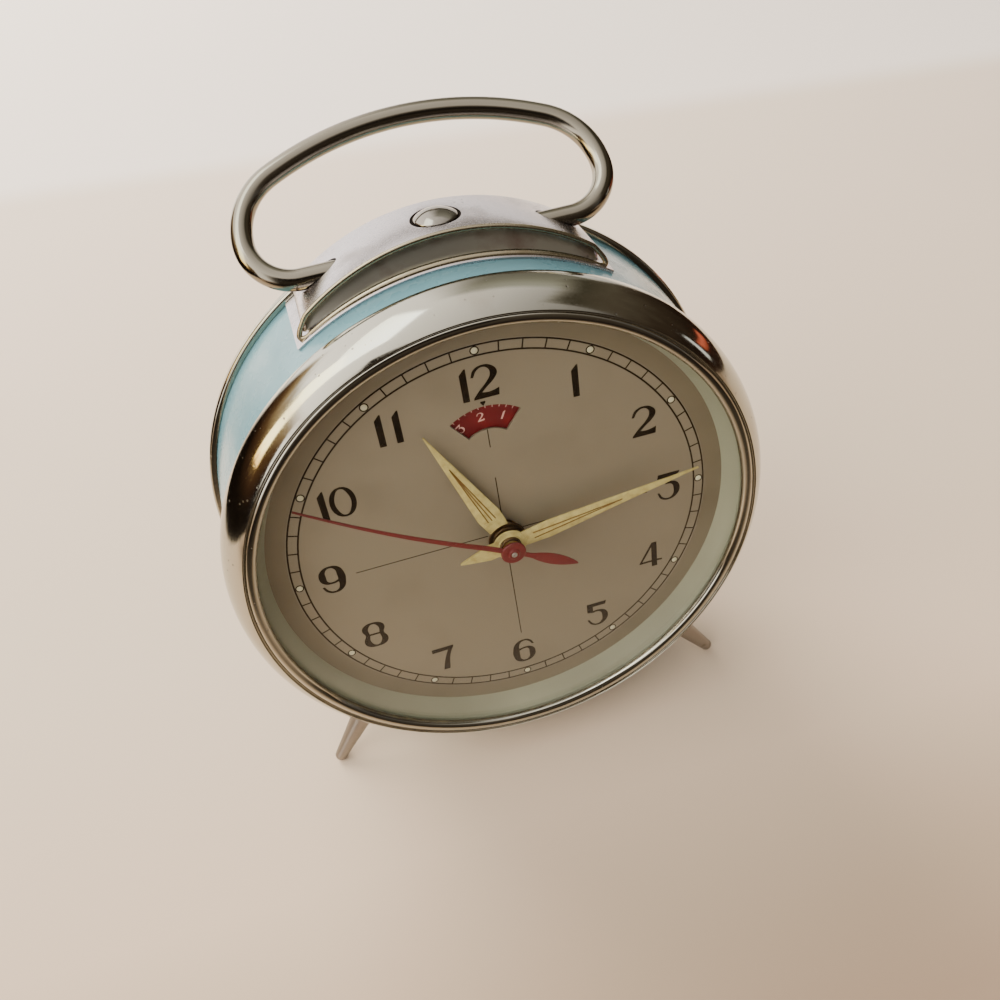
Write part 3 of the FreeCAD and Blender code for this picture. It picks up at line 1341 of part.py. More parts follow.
def balance_wheel():
    """Balance with a rim, a crossbar, its staff and the roller that carries the impulse pin."""
    cup_y = REAR_PLATE_Y - CLEARANCE
    staff_end = cup_y + CUP_DEPTH - END_SHAKE
    steps = [
        (0.0, FRONT_PLATE_Y + END_SHAKE),
        (PIVOT_R, FRONT_PLATE_Y + END_SHAKE),
        (PIVOT_R, INSIDE_FRONT_Y),
        (PALLET_ARBOR_R, INSIDE_FRONT_Y),
        (PALLET_ARBOR_R, cup_y - CLEARANCE),
        (PIVOT_R, cup_y - CLEARANCE),
        (PIVOT_R, staff_end),
        (0.0, staff_end),
    ]
    staff = lathe(steps, at=(BALANCE_AT[0], 0.0, BALANCE_AT[1]))
    rim_in = BALANCE_R - BALANCE_RIM_W
    rim = tube(BALANCE_R, rim_in, BALANCE_Y, BALANCE_Y + BALANCE_RIM_L, BALANCE_AT)
    reach = rim_in + BALANCE_RIM_W / 3.0
    ends = [polar(reach, BALANCE_ARM_DEG + turn, BALANCE_AT) for turn in (0.0, 180.0)]
    arm_y = BALANCE_Y + (BALANCE_RIM_L - WHEEL_T) / 2.0
    crossbar = bar(ends[0], ends[1], BALANCE_ARM_HALF_W, arm_y, WHEEL_T)
    roller_y = FORK_Y + LINK_T
    roller = rod(ROLLER_R, roller_y, roller_y + WHEEL_T, BALANCE_AT)
    pin_at = polar(IMPULSE_R, bearing(BALANCE_AT, PALLET_AT), BALANCE_AT)
    pin = rod(PALLET_PIN_R, FORK_Y - LINK_T - CLEARANCE, roller_y + WHEEL_T, pin_at)
    return joined(staff, rim, crossbar, roller, pin)


def balance_screw():
    """Bearing screw for the balance staff in the back plate, slotted at the back."""
    front = REAR_PLATE_Y - CLEARANCE
    back = MOVEMENT_BACK_Y + BALANCE_SCREW_PROUD
    body = rod(BALANCE_SCREW_R, front, back, BALANCE_AT)
    cup = rod(PIVOT_R + BEARING_GAP, front - OVERRUN, front + CUP_DEPTH, BALANCE_AT)
    return body.cut([cup, driver_slot(BALANCE_SCREW_R, SCREW_SLOT, back, SCREW_SLOT, BALANCE_AT)])


def hairspring():
    """Hairspring, clear of the staff, held by its outer end."""
    return spiral(
        BALANCE_AT,
        HAIRSPRING_INNER_R,
        HAIRSPRING_R,
        HAIRSPRING_PITCH,
        HAIRSPRING_BAND,
        REAR_PLATE_Y - HAIRSPRING_BACK,
        HAIRSPRING_W,
    )


def regulator_lever():
    """Lever on the balance screw whose bent pointer comes through the rear cover."""
    y = MOVEMENT_BACK_Y + END_SHAKE
    end = polar(REGULATOR_R, REGULATOR_DEG, BALANCE_AT)
    ring = rod(BALANCE_SCREW_R + REGULATOR_RING_W, y, y + REGULATOR_T, BALANCE_AT)
    arm = bar(BALANCE_AT, end, POINTER_R, y, REGULATOR_T)
    pointer = rod(POINTER_R, y, COVER_BACK_Y + POINTER_PROUD, end)
    bore = hole(BALANCE_SCREW_R + BEARING_GAP, y, REGULATOR_T, BALANCE_AT)
    return joined(ring, arm, pointer).cut(bore)


def mainspring(at, outer_r):
    """Open-coil mainspring round a winding arbor."""
    depth = REAR_PLATE_Y - SPRING_BACK_AIR - MAINSPRING_Y
    return spiral(at, SPRING_INNER_R, outer_r, SPRING_PITCH, SPRING_BAND, MAINSPRING_Y, depth)


# Alarm


def alarm_escape_wheel():
    """Toothed wheel that swings the hammer, with its pinion."""
    at = ALARM_ESCAPE_AT
    phase = meshed(ALARM_GREAT_TEETH, 0.0, ALARM_GREAT_AT, ALARM_PINION, at)
    pinion = pinion_for(ALARM_PINION, GREAT_MODULE, GREAT_Y, GREAT_W, at, phase)
    wheel = saw_wheel(
        ALARM_ESCAPE_TEETH, ALARM_ESCAPE_R, ALARM_ESCAPE_TOOTH, ALARM_ESCAPE_Y, WHEEL_T, at, PIVOT_R
    )
    return joined(arbor(at), pinion, wheel)


def hammer():
    """Hammer arbor with two pallet pins, a tail for the stop lever, an arm and the striking head."""
    at = HAMMER_ARBOR_AT
    arm_y = MOVEMENT_BACK_Y + WHEEL_T
    arm_back = arm_y + HAMMER_ARM_T
    steps = [
        (0.0, FRONT_PLATE_Y),
        (PIVOT_R, FRONT_PLATE_Y),
        (PIVOT_R, INSIDE_FRONT_Y),
        (ARBOR_R, INSIDE_FRONT_Y),
        (ARBOR_R, arm_back),
        (0.0, arm_back),
    ]
    head_at = polar(BELL_R + HAMMER_GAP + HAMMER_HEAD_R, HAMMER_DEG, BELL_AT)
    tail_at = polar(HAMMER_TAIL_L, HAMMER_TAIL_DEG, at)
    pieces = [
        lathe(steps, at=(at[0], 0.0, at[1])),
        bar(at, head_at, LEVER_HALF_W, arm_y, HAMMER_ARM_T),
        rod(HAMMER_HEAD_R, arm_y, arm_y + HAMMER_HEAD_L, head_at),
        bar(at, tail_at, LEVER_HALF_W, STOP_LEVER_Y, LEVER_T),
    ]
    towards = bearing(ALARM_ESCAPE_AT, at)
    link_y = ALARM_ESCAPE_Y + WHEEL_T + CLEARANCE
    for turn in (-HAMMER_PALLET_DEG, HAMMER_PALLET_DEG):
        pin_r = ALARM_ESCAPE_R + HAMMER_PALLET_AIR + PALLET_PIN_R
        pin_at = polar(pin_r, towards + turn, ALARM_ESCAPE_AT)
        pieces.append(bar(at, pin_at, LINK_HALF_W, link_y, LINK_T))
        pieces.append(rod(PALLET_PIN_R, ALARM_ESCAPE_Y, link_y + LINK_T / 2.0, pin_at))
    return joined(*pieces)


def stop_lever():
    """Lever that the button's stem presses, with a finger over the hammer's tail."""
    push_at = (0.0, BUTTON_STEM_END_Z - CLEARANCE - LEVER_HALF_W)
    arm = bar(STOP_PIVOT_AT, push_at, LEVER_HALF_W, STOP_LEVER_Y, LEVER_T)
    finger = bar(STOP_PIVOT_AT, STOP_FINGER_AT, LEVER_HALF_W, STOP_LEVER_Y, LEVER_T)
    eye = rod(STOP_STUD_R + STOP_EYE_W, STOP_LEVER_Y, STOP_LEVER_Y + LEVER_T, STOP_PIVOT_AT)
    bore = hole(STOP_STUD_R + BEARING_GAP, STOP_LEVER_Y, LEVER_T, STOP_PIVOT_AT)
    return joined(arm, finger, eye).cut(bore)


def bell():
    """Steel cup on a post from the back plate, open towards the movement."""
    back = COVER_BACK_Y - COVER_T - BELL_AIR
    front = MOVEMENT_BACK_Y + BELL_FRONT_AIR
    inner_r = BELL_R - BELL_SHEET
    bend = (BELL_R - BELL_BEND_R, back - BELL_BEND_R)
    steps = [
        (0.0, MOVEMENT_BACK_Y),
        (BELL_POST_R, MOVEMENT_BACK_Y),
        (BELL_POST_R, back - BELL_SHEET),
        (bend[0], back - BELL_SHEET),
        round_to((bend[0], back - BELL_SHEET), (inner_r, bend[1]), bend),
        (inner_r, front),
        (BELL_R, front),
        (BELL_R, bend[1]),
        round_to((BELL_R, bend[1]), (bend[0], back), bend),
        (0.0, back),
    ]
    return lathe(steps, at=(BELL_AT[0], 0.0, BELL_AT[1]))


# Hands


def hand_place(clock_deg):
    """Maps (along, across) of a hand to the dial's plane, clock_deg clockwise from twelve."""
    angle = math.radians(90.0 - clock_deg)
    c = math.cos(angle)
    s = math.sin(angle)
    return lambda along, across: (along * c - across * s, along * s + across * c)


def hand_slab(steps, clock_deg, y):
    """Flat blade of a hand."""
    place = hand_place(clock_deg)
    turned = [sum((place(*pair) for pair in zip(step[::2], step[1::2])), ()) for step in steps]
    return slab(turned, y - HAND_T, HAND_T)


def lance(length, wide_at, half_w, root_w, clock_deg, y):
    """Blade that widens from its root and runs out to a point."""
    steps = [
        (0.0, root_w),
        (wide_at, half_w),
        (length, HAND_TIP_W),
        (length, -HAND_TIP_W),
        (wide_at, -half_w),
        (0.0, -root_w),
    ]
    return hand_slab(steps, clock_deg, y)


def hour_hand():
    """Broad lance on a round boss."""
    y = HOUR_HAND_Y
    blade = lance(HOUR_HAND_L, HOUR_WIDE_AT, HOUR_HAND_W, HOUR_ROOT_W, HOUR_DEG, y)
    body = joined(blade, rod(HOUR_BOSS_R, y - HAND_T, y))
    return body.cut(hole(HOUR_PIPE_R + FIT_GAP, y - HAND_T, HAND_T))


def minute_hand():
    """Long lance on a round boss, with a short tail."""
    y = MINUTE_HAND_Y
    blade = lance(MINUTE_HAND_L, MINUTE_WIDE_AT, MINUTE_HAND_W, MINUTE_ROOT_W, MINUTE_DEG, y)
    tail = [
        (0.0, MINUTE_ROOT_W),
        (-MINUTE_TAIL_L, MINUTE_TAIL_W),
        (-MINUTE_TAIL_L, -MINUTE_TAIL_W),
        (0.0, -MINUTE_ROOT_W),
    ]
    body = joined(blade, hand_slab(tail, MINUTE_DEG, y), rod(MINUTE_BOSS_R, y - HAND_T, y))
    return body.cut(hole(CANNON_R + FIT_GAP, y - HAND_T, HAND_T))


def second_hand():
    """Thin needle that dips towards the dial, a leaf tail and a short tube on its arbor."""
    y = SECOND_HAND_Y
    front = y - HAND_T
    place = hand_place(SECOND_DEG)

    def at_width(across):
        return lambda along, depth: Vector(place(along, across)[0], depth, place(along, across)[1])

    side_view = [
        (0.0, front),
        (SECOND_FLAT_L, front),
        (SECOND_HAND_L, front + SECOND_HAND_DROP),
        (SECOND_HAND_L, y + SECOND_HAND_DROP),
        (SECOND_FLAT_L, y),
        (0.0, y),
    ]
    edge = at_width(-SECOND_HAND_W)
    face = Part.Face(outline(side_view, edge))
    strip = upright(face.extrude(at_width(SECOND_HAND_W)(0.0, y) - edge(0.0, y)))
    taper = [
        (0.0, SECOND_HAND_W),
        (SECOND_HAND_L, SECOND_TIP_W),
        (SECOND_HAND_L, -SECOND_TIP_W),
        (0.0, -SECOND_HAND_W),
    ]
    depth = SECOND_HAND_DROP + HAND_T + 2.0 * OVERRUN
    needle = strip.common(slab([place(*step) for step in taper], front - OVERRUN, depth))
    leaf_mid = (SECOND_LEAF_FROM + SECOND_TAIL_L) / 2.0
    leaf = [
        (0.0, SECOND_TAIL_W),
        (-SECOND_LEAF_FROM, SECOND_TAIL_W),
        (-leaf_mid, SECOND_LEAF_W, -SECOND_TAIL_L, SECOND_TIP_W),
        (-SECOND_TAIL_L, -SECOND_TIP_W),
        (-leaf_mid, -SECOND_LEAF_W, -SECOND_LEAF_FROM, -SECOND_TAIL_W),
        (0.0, -SECOND_TAIL_W),
    ]
    hub = rod(SECOND_HUB_R, front, y)
    collar = rod(SECOND_COLLAR_R, front - SECOND_COLLAR_L, y + SECOND_COLLAR_L)
    body = joined(needle, hand_slab(leaf, SECOND_DEG, y), hub, collar)
    return body.cut(hole(THIN_ARBOR_R + FIT_GAP, front, HAND_T))


# Keys and knobs


def wing_key(at):
    """Winding key: a hub on the arbor's end and a flat wing with two round lobes."""
    y = KEY_FRONT_Y
    steps = [
        (0.0, y),
        (KEY_HUB_R, y),
        (KEY_HUB_R, y + KEY_HUB_L - KEY_HUB_BEVEL),
        (KEY_HUB_R - KEY_HUB_BEVEL, y + KEY_HUB_L),
        (0.0, y + KEY_HUB_L),
    ]
    hub = lathe(steps, at=(at[0], 0.0, at[1]))
    z = at[1] - KEY_T / 2.0
    lobe_y = y + KEY_LENGTH - KEY_LOBE_R
    lobes = [
        Part.makeCylinder(KEY_LOBE_R, KEY_T, Vector(at[0] + side * KEY_LOBE_X, lobe_y, z))
        for side in (-1.0, 1.0)
    ]
    corner = Vector(at[0] - KEY_LOBE_X, y + KEY_WEB_FROM, z)
    web = Part.makeBox(2.0 * KEY_LOBE_X, KEY_WEB_L, KEY_T, corner)
    bore = rod(WIND_PIVOT_R + FIT_GAP, y - OVERRUN, y + KEY_SEAT_L + FIT_GAP, at)
    return joined(hub, web, *lobes).cut(bore)


def knob(at):
    """Ridged setting knob."""
    y = KEY_FRONT_Y
    module = 2.0 * KNOB_R / (KNOB_RIDGES + 2.0 * TOOTH_ADD)
    grip = gear(KNOB_RIDGES, module, y + KNOB_SEAT, KNOB_H - KNOB_SEAT, at, 0.0)
    hub = rod(ARBOR_R + KNOB_HUB_W, y, y + KNOB_HUB_L, at)
    bore = rod(ARBOR_R + FIT_GAP, y - OVERRUN, y + KNOB_H - KNOB_SEAT + FIT_GAP, at)
    return joined(grip, hub).cut(bore)


# The clock leans back until its feet and its rear rim touch the same level surface


def rim_edge():
    """Centre of the rounded edge at the bottom of the rear rim."""
    return RIM_BACK_Y - RIM_EDGE_R, RIM_EDGE_R - RIM_R


def lean_angle():
    """Angle in radians that brings the tips of the feet level with the rear rim's lowest edge."""
    start, along, length = foot_line(1.0)
    tip = start + along * length
    edge_y, edge_z = rim_edge()
    dy = edge_y - tip.y
    dz = edge_z - tip.z
    tip_r = FOOT_TIP_R - FOOT_FLAT
    return math.atan2(dz, dy) - math.asin((RIM_EDGE_R - tip_r) / math.hypot(dy, dz))


LEAN = lean_angle()


def leaned(y, z):
    """Depth and height of a point after the clock leans back, before it is lifted."""
    return (
        y * math.cos(LEAN) + z * math.sin(LEAN),
        z * math.cos(LEAN) - y * math.sin(LEAN),
    )


def lift():
    """Height of the dial's centre over the surface that the clock stands on."""
    return RIM_EDGE_R - leaned(*rim_edge())[1]


def stand(pieces):
    """Lean all pieces back, flatten the tips of the feet and centre the clock on its footprint."""
    turn = Rotation(Vector(1, 0, 0), -math.degrees(LEAN))
    for shape in pieces.values():
        shape.Placement = Placement(Vector(0, 0, lift()), turn).multiply(shape.Placement)
    reach = 2.0 * RIM_R
    floor = Part.makeBox(2.0 * reach, 2.0 * reach, OVERRUN, Vector(-reach, -reach, -OVERRUN))
    for name in ("foot_left", "foot_right"):
        pieces[name] = pieces[name].cut(floor)
    shift = Placement(Vector(0, -footprint_middle(pieces), 0), Rotation())
    for shape in pieces.values():
        shape.Placement = shift.multiply(shape.Placement)


def footprint_middle(pieces):
    """Middle of the clock's depth."""
    boxes = [shape.optimalBoundingBox(False) for shape in pieces.values()]
    return (min(box.YMin for box in boxes) + max(box.YMax for box in boxes)) / 2.0


def main():
    """Build every piece, lean the clock back on its feet and write one file for each piece."""
    pieces = {
        "case_drum": case_drum(),
        "front_bezel": front_bezel(),
        "crystal": crystal(),
        "inner_ring": inner_ring(),
        "dial_plate": dial_plate(),
        "rear_rim": rear_rim(),
        "rear_cover": rear_cover(),
        "saddle": saddle(),
        "saddle_rivets": Part.makeCompound(saddle_rivets()),
        "handle": handle(),
        "stop_button": stop_button(),
        "button_spring": button_spring(),
        "stop_lever": stop_lever(),
        "front_plate": front_plate(),
        "back_plate": back_plate(),
        "plate_nuts": Part.makeCompound(plate_nuts()),
        "foot_nuts": Part.makeCompound([foot_nut(-1.0), foot_nut(1.0)]),
        "foot_left": foot(-1.0),
        "foot_right": foot(1.0),
        "set_arbor": set_arbor(),
        "set_knob": knob(CENTRE_AT),
        "cannon_pinion": cannon_pinion(),
        "minute_wheel": minute_wheel(),
        "hour_wheel": hour_wheel(),
        "alarm_wheel": alarm_wheel(),
        "alarm_arbor": alarm_arbor(),
        "alarm_disc": alarm_disc(),
        "alarm_knob": knob(ALARM_AT),
        "time_winding_arbor": winding_arbor(GREAT_AT, TIME_RATCHET_R),
        "time_great_wheel": great_wheel(GREAT_TEETH, 0.0, GREAT_AT, TIME_CLICK_R),
        "time_click": click(GREAT_AT, TIME_CLICK_R, TIME_RATCHET_R),
        "time_mainspring": mainspring(GREAT_AT, TIME_SPRING_R),
        "time_key": wing_key(GREAT_AT),
        "centre_wheel": centre_wheel(),
        "third_wheel": third_wheel(),
        "fourth_wheel": fourth_wheel(),
        "escape_wheel": escape_wheel(),
        "pallet_fork": pallet_fork(),
        "balance_wheel": balance_wheel(),
        "balance_screw": balance_screw(),
        "hairspring": hairspring(),
        "regulator_lever": regulator_lever(),
        "alarm_winding_arbor": winding_arbor(ALARM_GREAT_AT, ALARM_RATCHET_R),
        "alarm_great_wheel": great_wheel(ALARM_GREAT_TEETH, 0.0, ALARM_GREAT_AT, ALARM_CLICK_R),
        "alarm_click": click(ALARM_GREAT_AT, ALARM_CLICK_R, ALARM_RATCHET_R),
        "alarm_mainspring": mainspring(ALARM_GREAT_AT, ALARM_SPRING_R),
        "alarm_key": wing_key(ALARM_GREAT_AT),
        "alarm_escape_wheel": alarm_escape_wheel(),
        "hammer": hammer(),
        "bell": bell(),
        "hour_hand": hour_hand(),
        "minute_hand": minute_hand(),
        "second_hand": second_hand(),
    }
    for number, at in enumerate(PILLARS, start=1):
        pieces["pillar_%d" % number] = pillar(at)
    for number, at in enumerate(cover_screw_places(), start=1):
        pieces["cover_screw_%d" % number] = cover_screw(at)
    stand(pieces)
    os.makedirs("parts", exist_ok=True)
    for name, shape in pieces.items():
        if not shape.isValid():
            print("invalid", name)
        shape.exportStep("parts/%s.step" % name)
    return pieces


main()
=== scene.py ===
import json
import logging
import math
import random
from dataclasses import dataclass, field
from enum import Enum

import bmesh
import bpy
from mathutils import Matrix, Vector


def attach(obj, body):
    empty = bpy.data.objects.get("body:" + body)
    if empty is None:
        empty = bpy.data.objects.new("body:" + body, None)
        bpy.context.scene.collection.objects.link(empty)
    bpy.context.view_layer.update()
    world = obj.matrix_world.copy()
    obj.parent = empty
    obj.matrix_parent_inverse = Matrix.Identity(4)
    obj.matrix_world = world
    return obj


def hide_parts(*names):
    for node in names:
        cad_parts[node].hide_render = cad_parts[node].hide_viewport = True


# Looks of a round wind-up alarm clock. Sizes are in millimetres in the clock's own frame: x to
# the right of the dial, y from the dial's face towards the back, z from the dial's centre
# towards twelve. ClockAxes takes them to the row frame in metres.

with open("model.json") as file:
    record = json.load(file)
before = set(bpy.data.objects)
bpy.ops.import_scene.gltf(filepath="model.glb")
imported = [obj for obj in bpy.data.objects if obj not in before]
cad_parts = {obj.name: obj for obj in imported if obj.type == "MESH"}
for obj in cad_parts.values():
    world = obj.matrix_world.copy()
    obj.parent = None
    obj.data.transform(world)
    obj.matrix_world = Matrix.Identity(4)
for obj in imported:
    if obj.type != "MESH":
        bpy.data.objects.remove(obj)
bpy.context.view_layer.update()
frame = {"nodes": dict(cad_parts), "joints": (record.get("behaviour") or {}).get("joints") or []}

log = logging.getLogger("alarm_clock")

MM = 0.001
FULL_TURN = 2.0 * math.pi
PIECE_PREFIX = "look_"

Point2 = tuple[float, float]
Point3 = tuple[float, float, float]
Span = tuple[float, float]
Bands = tuple[tuple[float, str], ...]
Tree = bpy.types.NodeTree
Node = bpy.types.Node
Socket = bpy.types.NodeSocket


class Body(Enum):
    """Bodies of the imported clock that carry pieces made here."""

    CASE = "case"
    HANDLE = "handle"
    BUTTON = "stop_button"
    CANNON = "cannon"
    HOUR = "hour_wheel"
    SECONDS = "seconds_arbor"
    ALARM_SETTING = "alarm_setting"
    SETTING = "setting_arbor"
    TIME_WINDER = "time_winder"
    ALARM_WINDER = "alarm_winder"
    REGULATOR = "regulator"


def linear(hex_colour: str) -> tuple[float, float, float, float]:
    """Turn an sRGB colour into the linear colour that shaders take.

    Args:
        hex_colour: Six hex digits after a hash.

    Returns:
        Linear red, green and blue, and an alpha of 1.
    """
    channels = [int(hex_colour[i : i + 2], 16) / 255.0 for i in (1, 3, 5)]
    low, power = 0.04045, 2.4
    turned = [c / 12.92 if c <= low else ((c + 0.055) / 1.055) ** power for c in channels]
    return (turned[0], turned[1], turned[2], 1.0)


def add(tree: Tree, kind: str, inputs: dict | None = None, **settings) -> Node:
    """Add a node with its settings, values and links.

    Args:
        tree: Node tree that gets the node.
        kind: Blender's name of the node type.
        inputs: Values or output sockets by input name or place.
        **settings: Attributes of the node.

    Returns:
        The new node.
    """
    node = tree.nodes.new(kind)
    for name, value in settings.items():
        setattr(node, name, value)
    for key, value in (inputs or {}).items():
        if isinstance(value, Socket):
            tree.links.new(value, node.inputs[key])
        else:
            node.inputs[key].default_value = value
    return node


def set_bands(ramp: Node, bands: Bands) -> None:
    """Write colours into a ramp node.

    Args:
        ramp: The node.
        bands: Each value with the colour there, in rising order.
    """
    stops = ramp.color_ramp.elements
    while len(stops) < len(bands):
        stops.new(0.5)
    for stop, (at, colour) in zip(stops, bands):
        stop.position = at
        stop.color = linear(colour)


def per_metre(size_mm: float) -> float:
    """Pattern frequency whose features are about size_mm across."""
    return 1.0 / (size_mm * MM)


@dataclass(frozen=True)
class Finish:
    """A surface finish. Subclasses draw it on a Principled shader."""

    name: str
    colour: str
    roughness: float
    relief_mm: float = 0.01
    relief_strength: float = 0.5

    def draw(self, tree: Tree, shader: Node, place: Socket) -> Socket | None:
        """Set the shader's values and link its patterns.

        Args:
            tree: The material's node tree.
            shader: Its Principled shader.
            place: Object coordinates in metres.

        Returns:
            Height of the surface's fine relief, or None for a smooth one.
        """
        raise NotImplementedError

    def material(self) -> bpy.types.Material:
        """Make the material once and hand it out after that.

        Returns:
            The finished material.
        """
        known = bpy.data.materials.get(self.name)
        if known is not None:
            return known
        made = bpy.data.materials.new(self.name)
        made.use_nodes = True
        tree = made.node_tree
        tree.nodes.clear()
        output = add(tree, "ShaderNodeOutputMaterial")
        shader = add(tree, "ShaderNodeBsdfPrincipled")
        tree.links.new(shader.outputs[0], output.inputs["Surface"])
        place = add(tree, "ShaderNodeTexCoord").outputs["Object"]
        height = self.draw(tree, shader, place)
        if height is not None:
            values = {"Height": height, "Distance": self.relief_mm * MM, "Strength": self.relief_strength}
            relief = add(tree, "ShaderNodeBump", values).outputs[0]
            tree.links.new(relief, shader.inputs["Normal"])
        return made

    def patches(self, tree: Tree, place: Socket, size_mm: float, edge: Span, detail: float) -> Socket:
        """Soft-edged patches of noise.

        Args:
            tree: The material's node tree.
            place: Coordinates that the noise reads.
            size_mm: Size of the patches.
            edge: Noise values where a patch starts and where it is full.
            detail: Octaves of the noise.

        Returns:
            Output socket that is 0 outside the patches and 1 inside.
        """
        values = {"Vector": place, "Scale": per_metre(size_mm), "Detail": detail}
        noise = add(tree, "ShaderNodeTexNoise", values).outputs[0]
        spread = {"Value": noise, "From Min": edge[0], "From Max": edge[1]}
        return add(tree, "ShaderNodeMapRange", spread).outputs[0]

    def rub(self, tree: Tree, shader: Node, rubbed: Socket, more: float) -> None:
        """Make the shader rougher in patches.

        Args:
            tree: The material's node tree.
            shader: Its Principled shader.
            rubbed: Socket that is 1 inside the patches.
            more: Roughness that a patch adds.
        """
        values = {0: rubbed, 2: self.roughness, 3: self.roughness + more}
        mixed = add(tree, "ShaderNodeMix", values, data_type="FLOAT").outputs[0]
        tree.links.new(mixed, shader.inputs["Roughness"])


@dataclass(frozen=True)
class PlatedMetal(Finish):
    """Bright nickel-chrome plating on pressed steel: mirror-like, hazed in patches, with small rust pits."""

    relief_mm: float = 0.05
    relief_strength: float = 0.6
    haze: str = "#8A7A68"
    haze_share: float = 0.35
    haze_mm: float = 9.0
    hazed_roughness: float = 0.42
    pit: str = "#3A2A20"
    pit_share: float = 0.5
    pit_mm: float = 1.6
    pit_edge: Span = (0.16, 0.07)
    pit_group_mm: float = 4.5
    pitted_roughness: float = 0.7
    scratch: float = 0.1
    scratch_mm: float = 0.35

    def draw(self, tree: Tree, shader: Node, place: Socket) -> Socket:
        """Mirror plating with hazed patches, scratches and pits.

        Args:
            tree: The material's node tree.
            shader: Its Principled shader.
            place: Object coordinates in metres.

        Returns:
            Height of the relief, low in the pits.
        """
        shader.inputs["Metallic"].default_value = 1.0
        hazed = self.patches(tree, place, self.haze_mm, (0.52, 0.74), detail=6.0)
        weak = add(tree, "ShaderNodeMath", {0: hazed, 1: self.haze_share}, operation="MULTIPLY").outputs[0]
        values = {"Vector": place, "Scale": per_metre(self.pit_mm), "Randomness": 1.0}
        cells = add(tree, "ShaderNodeTexVoronoi", values).outputs["Distance"]
        rim, core = self.pit_edge
        values = {"Value": cells, "From Min": rim, "From Max": core, "To Max": self.pit_share}
        cores = add(tree, "ShaderNodeMapRange", values).outputs[0]
        groups = self.patches(tree, place, self.pit_group_mm, (0.5, 0.62), detail=3.0)
        pits = add(tree, "ShaderNodeMath", {0: cores, 1: groups}, operation="MULTIPLY").outputs[0]
        values = {0: weak, 6: linear(self.colour), 7: linear(self.haze)}
        clean = add(tree, "ShaderNodeMix", values, data_type="RGBA").outputs[2]
        values = {0: pits, 6: clean, 7: linear(self.pit)}
        tree.links.new(add(tree, "ShaderNodeMix", values, data_type="RGBA").outputs[2],
                       shader.inputs["Base Color"])
        values = {"Vector": place, "Scale": per_metre(self.scratch_mm), "Detail": 2.0, "Distortion": 0.6}
        lines = add(tree, "ShaderNodeTexNoise", values).outputs[0]
        values = {"Value": lines, "From Min": 0.35, "From Max": 0.75, "To Min": self.roughness,
                  "To Max": self.roughness + self.scratch}
        rough = add(tree, "ShaderNodeMapRange", values).outputs[0]
        values = {0: weak, 2: rough, 3: self.hazed_roughness}
        dull = add(tree, "ShaderNodeMix", values, data_type="FLOAT").outputs[0]
        values = {0: pits, 2: dull, 3: self.pitted_roughness}
        tree.links.new(add(tree, "ShaderNodeMix", values, data_type="FLOAT").outputs[0],
                       shader.inputs["Roughness"])
        return add(tree, "ShaderNodeMath", {0: 1.0, 1: pits}, operation="SUBTRACT").outputs[0]


@dataclass(frozen=True)
class StovedEnamel(Finish):
    """Stoved gloss enamel on sheet steel: smooth and a little wavy, with a clear shine and handling marks."""

    relief_mm: float = 0.02
    shade: str = "#8FAEB4"
    coat: float = 0.6
    coat_roughness: float = 0.12
    cloud_mm: float = 22.0
    speck_mm: float = 0.9
    rubbed_mm: float = 6.0
    rubbed_more: float = 0.16
    peel_mm: float = 1.4

    def draw(self, tree: Tree, shader: Node, place: Socket) -> Socket:
        """Even colour with faint clouding, orange peel and rubbed spots.

        Args:
            tree: The material's node tree.
            shader: Its Principled shader.
            place: Object coordinates in metres.

        Returns:
            Height of the orange peel.
        """
        cloud = self.patches(tree, place, self.cloud_mm, (0.35, 0.7), detail=3.0)
        values = {0: cloud, 6: linear(self.colour), 7: linear(self.shade)}
        colour = add(tree, "ShaderNodeMix", values, data_type="RGBA").outputs[2]
        specks = self.patches(tree, place, self.speck_mm, (0.7, 0.76), detail=2.0)
        values = {0: specks, 6: colour, 7: linear(self.shade)}
        tree.links.new(add(tree, "ShaderNodeMix", values, data_type="RGBA").outputs[2],
                       shader.inputs["Base Color"])
        rubbed = self.patches(tree, place, self.rubbed_mm, (0.45, 0.75), detail=5.0)
        self.rub(tree, shader, rubbed, self.rubbed_more)
        shader.inputs["Coat Weight"].default_value = self.coat
        shader.inputs["Coat Roughness"].default_value = self.coat_roughness
        values = {"Vector": place, "Scale": per_metre(self.peel_mm), "Detail": 1.0}
        return add(tree, "ShaderNodeTexNoise", values).outputs[0]


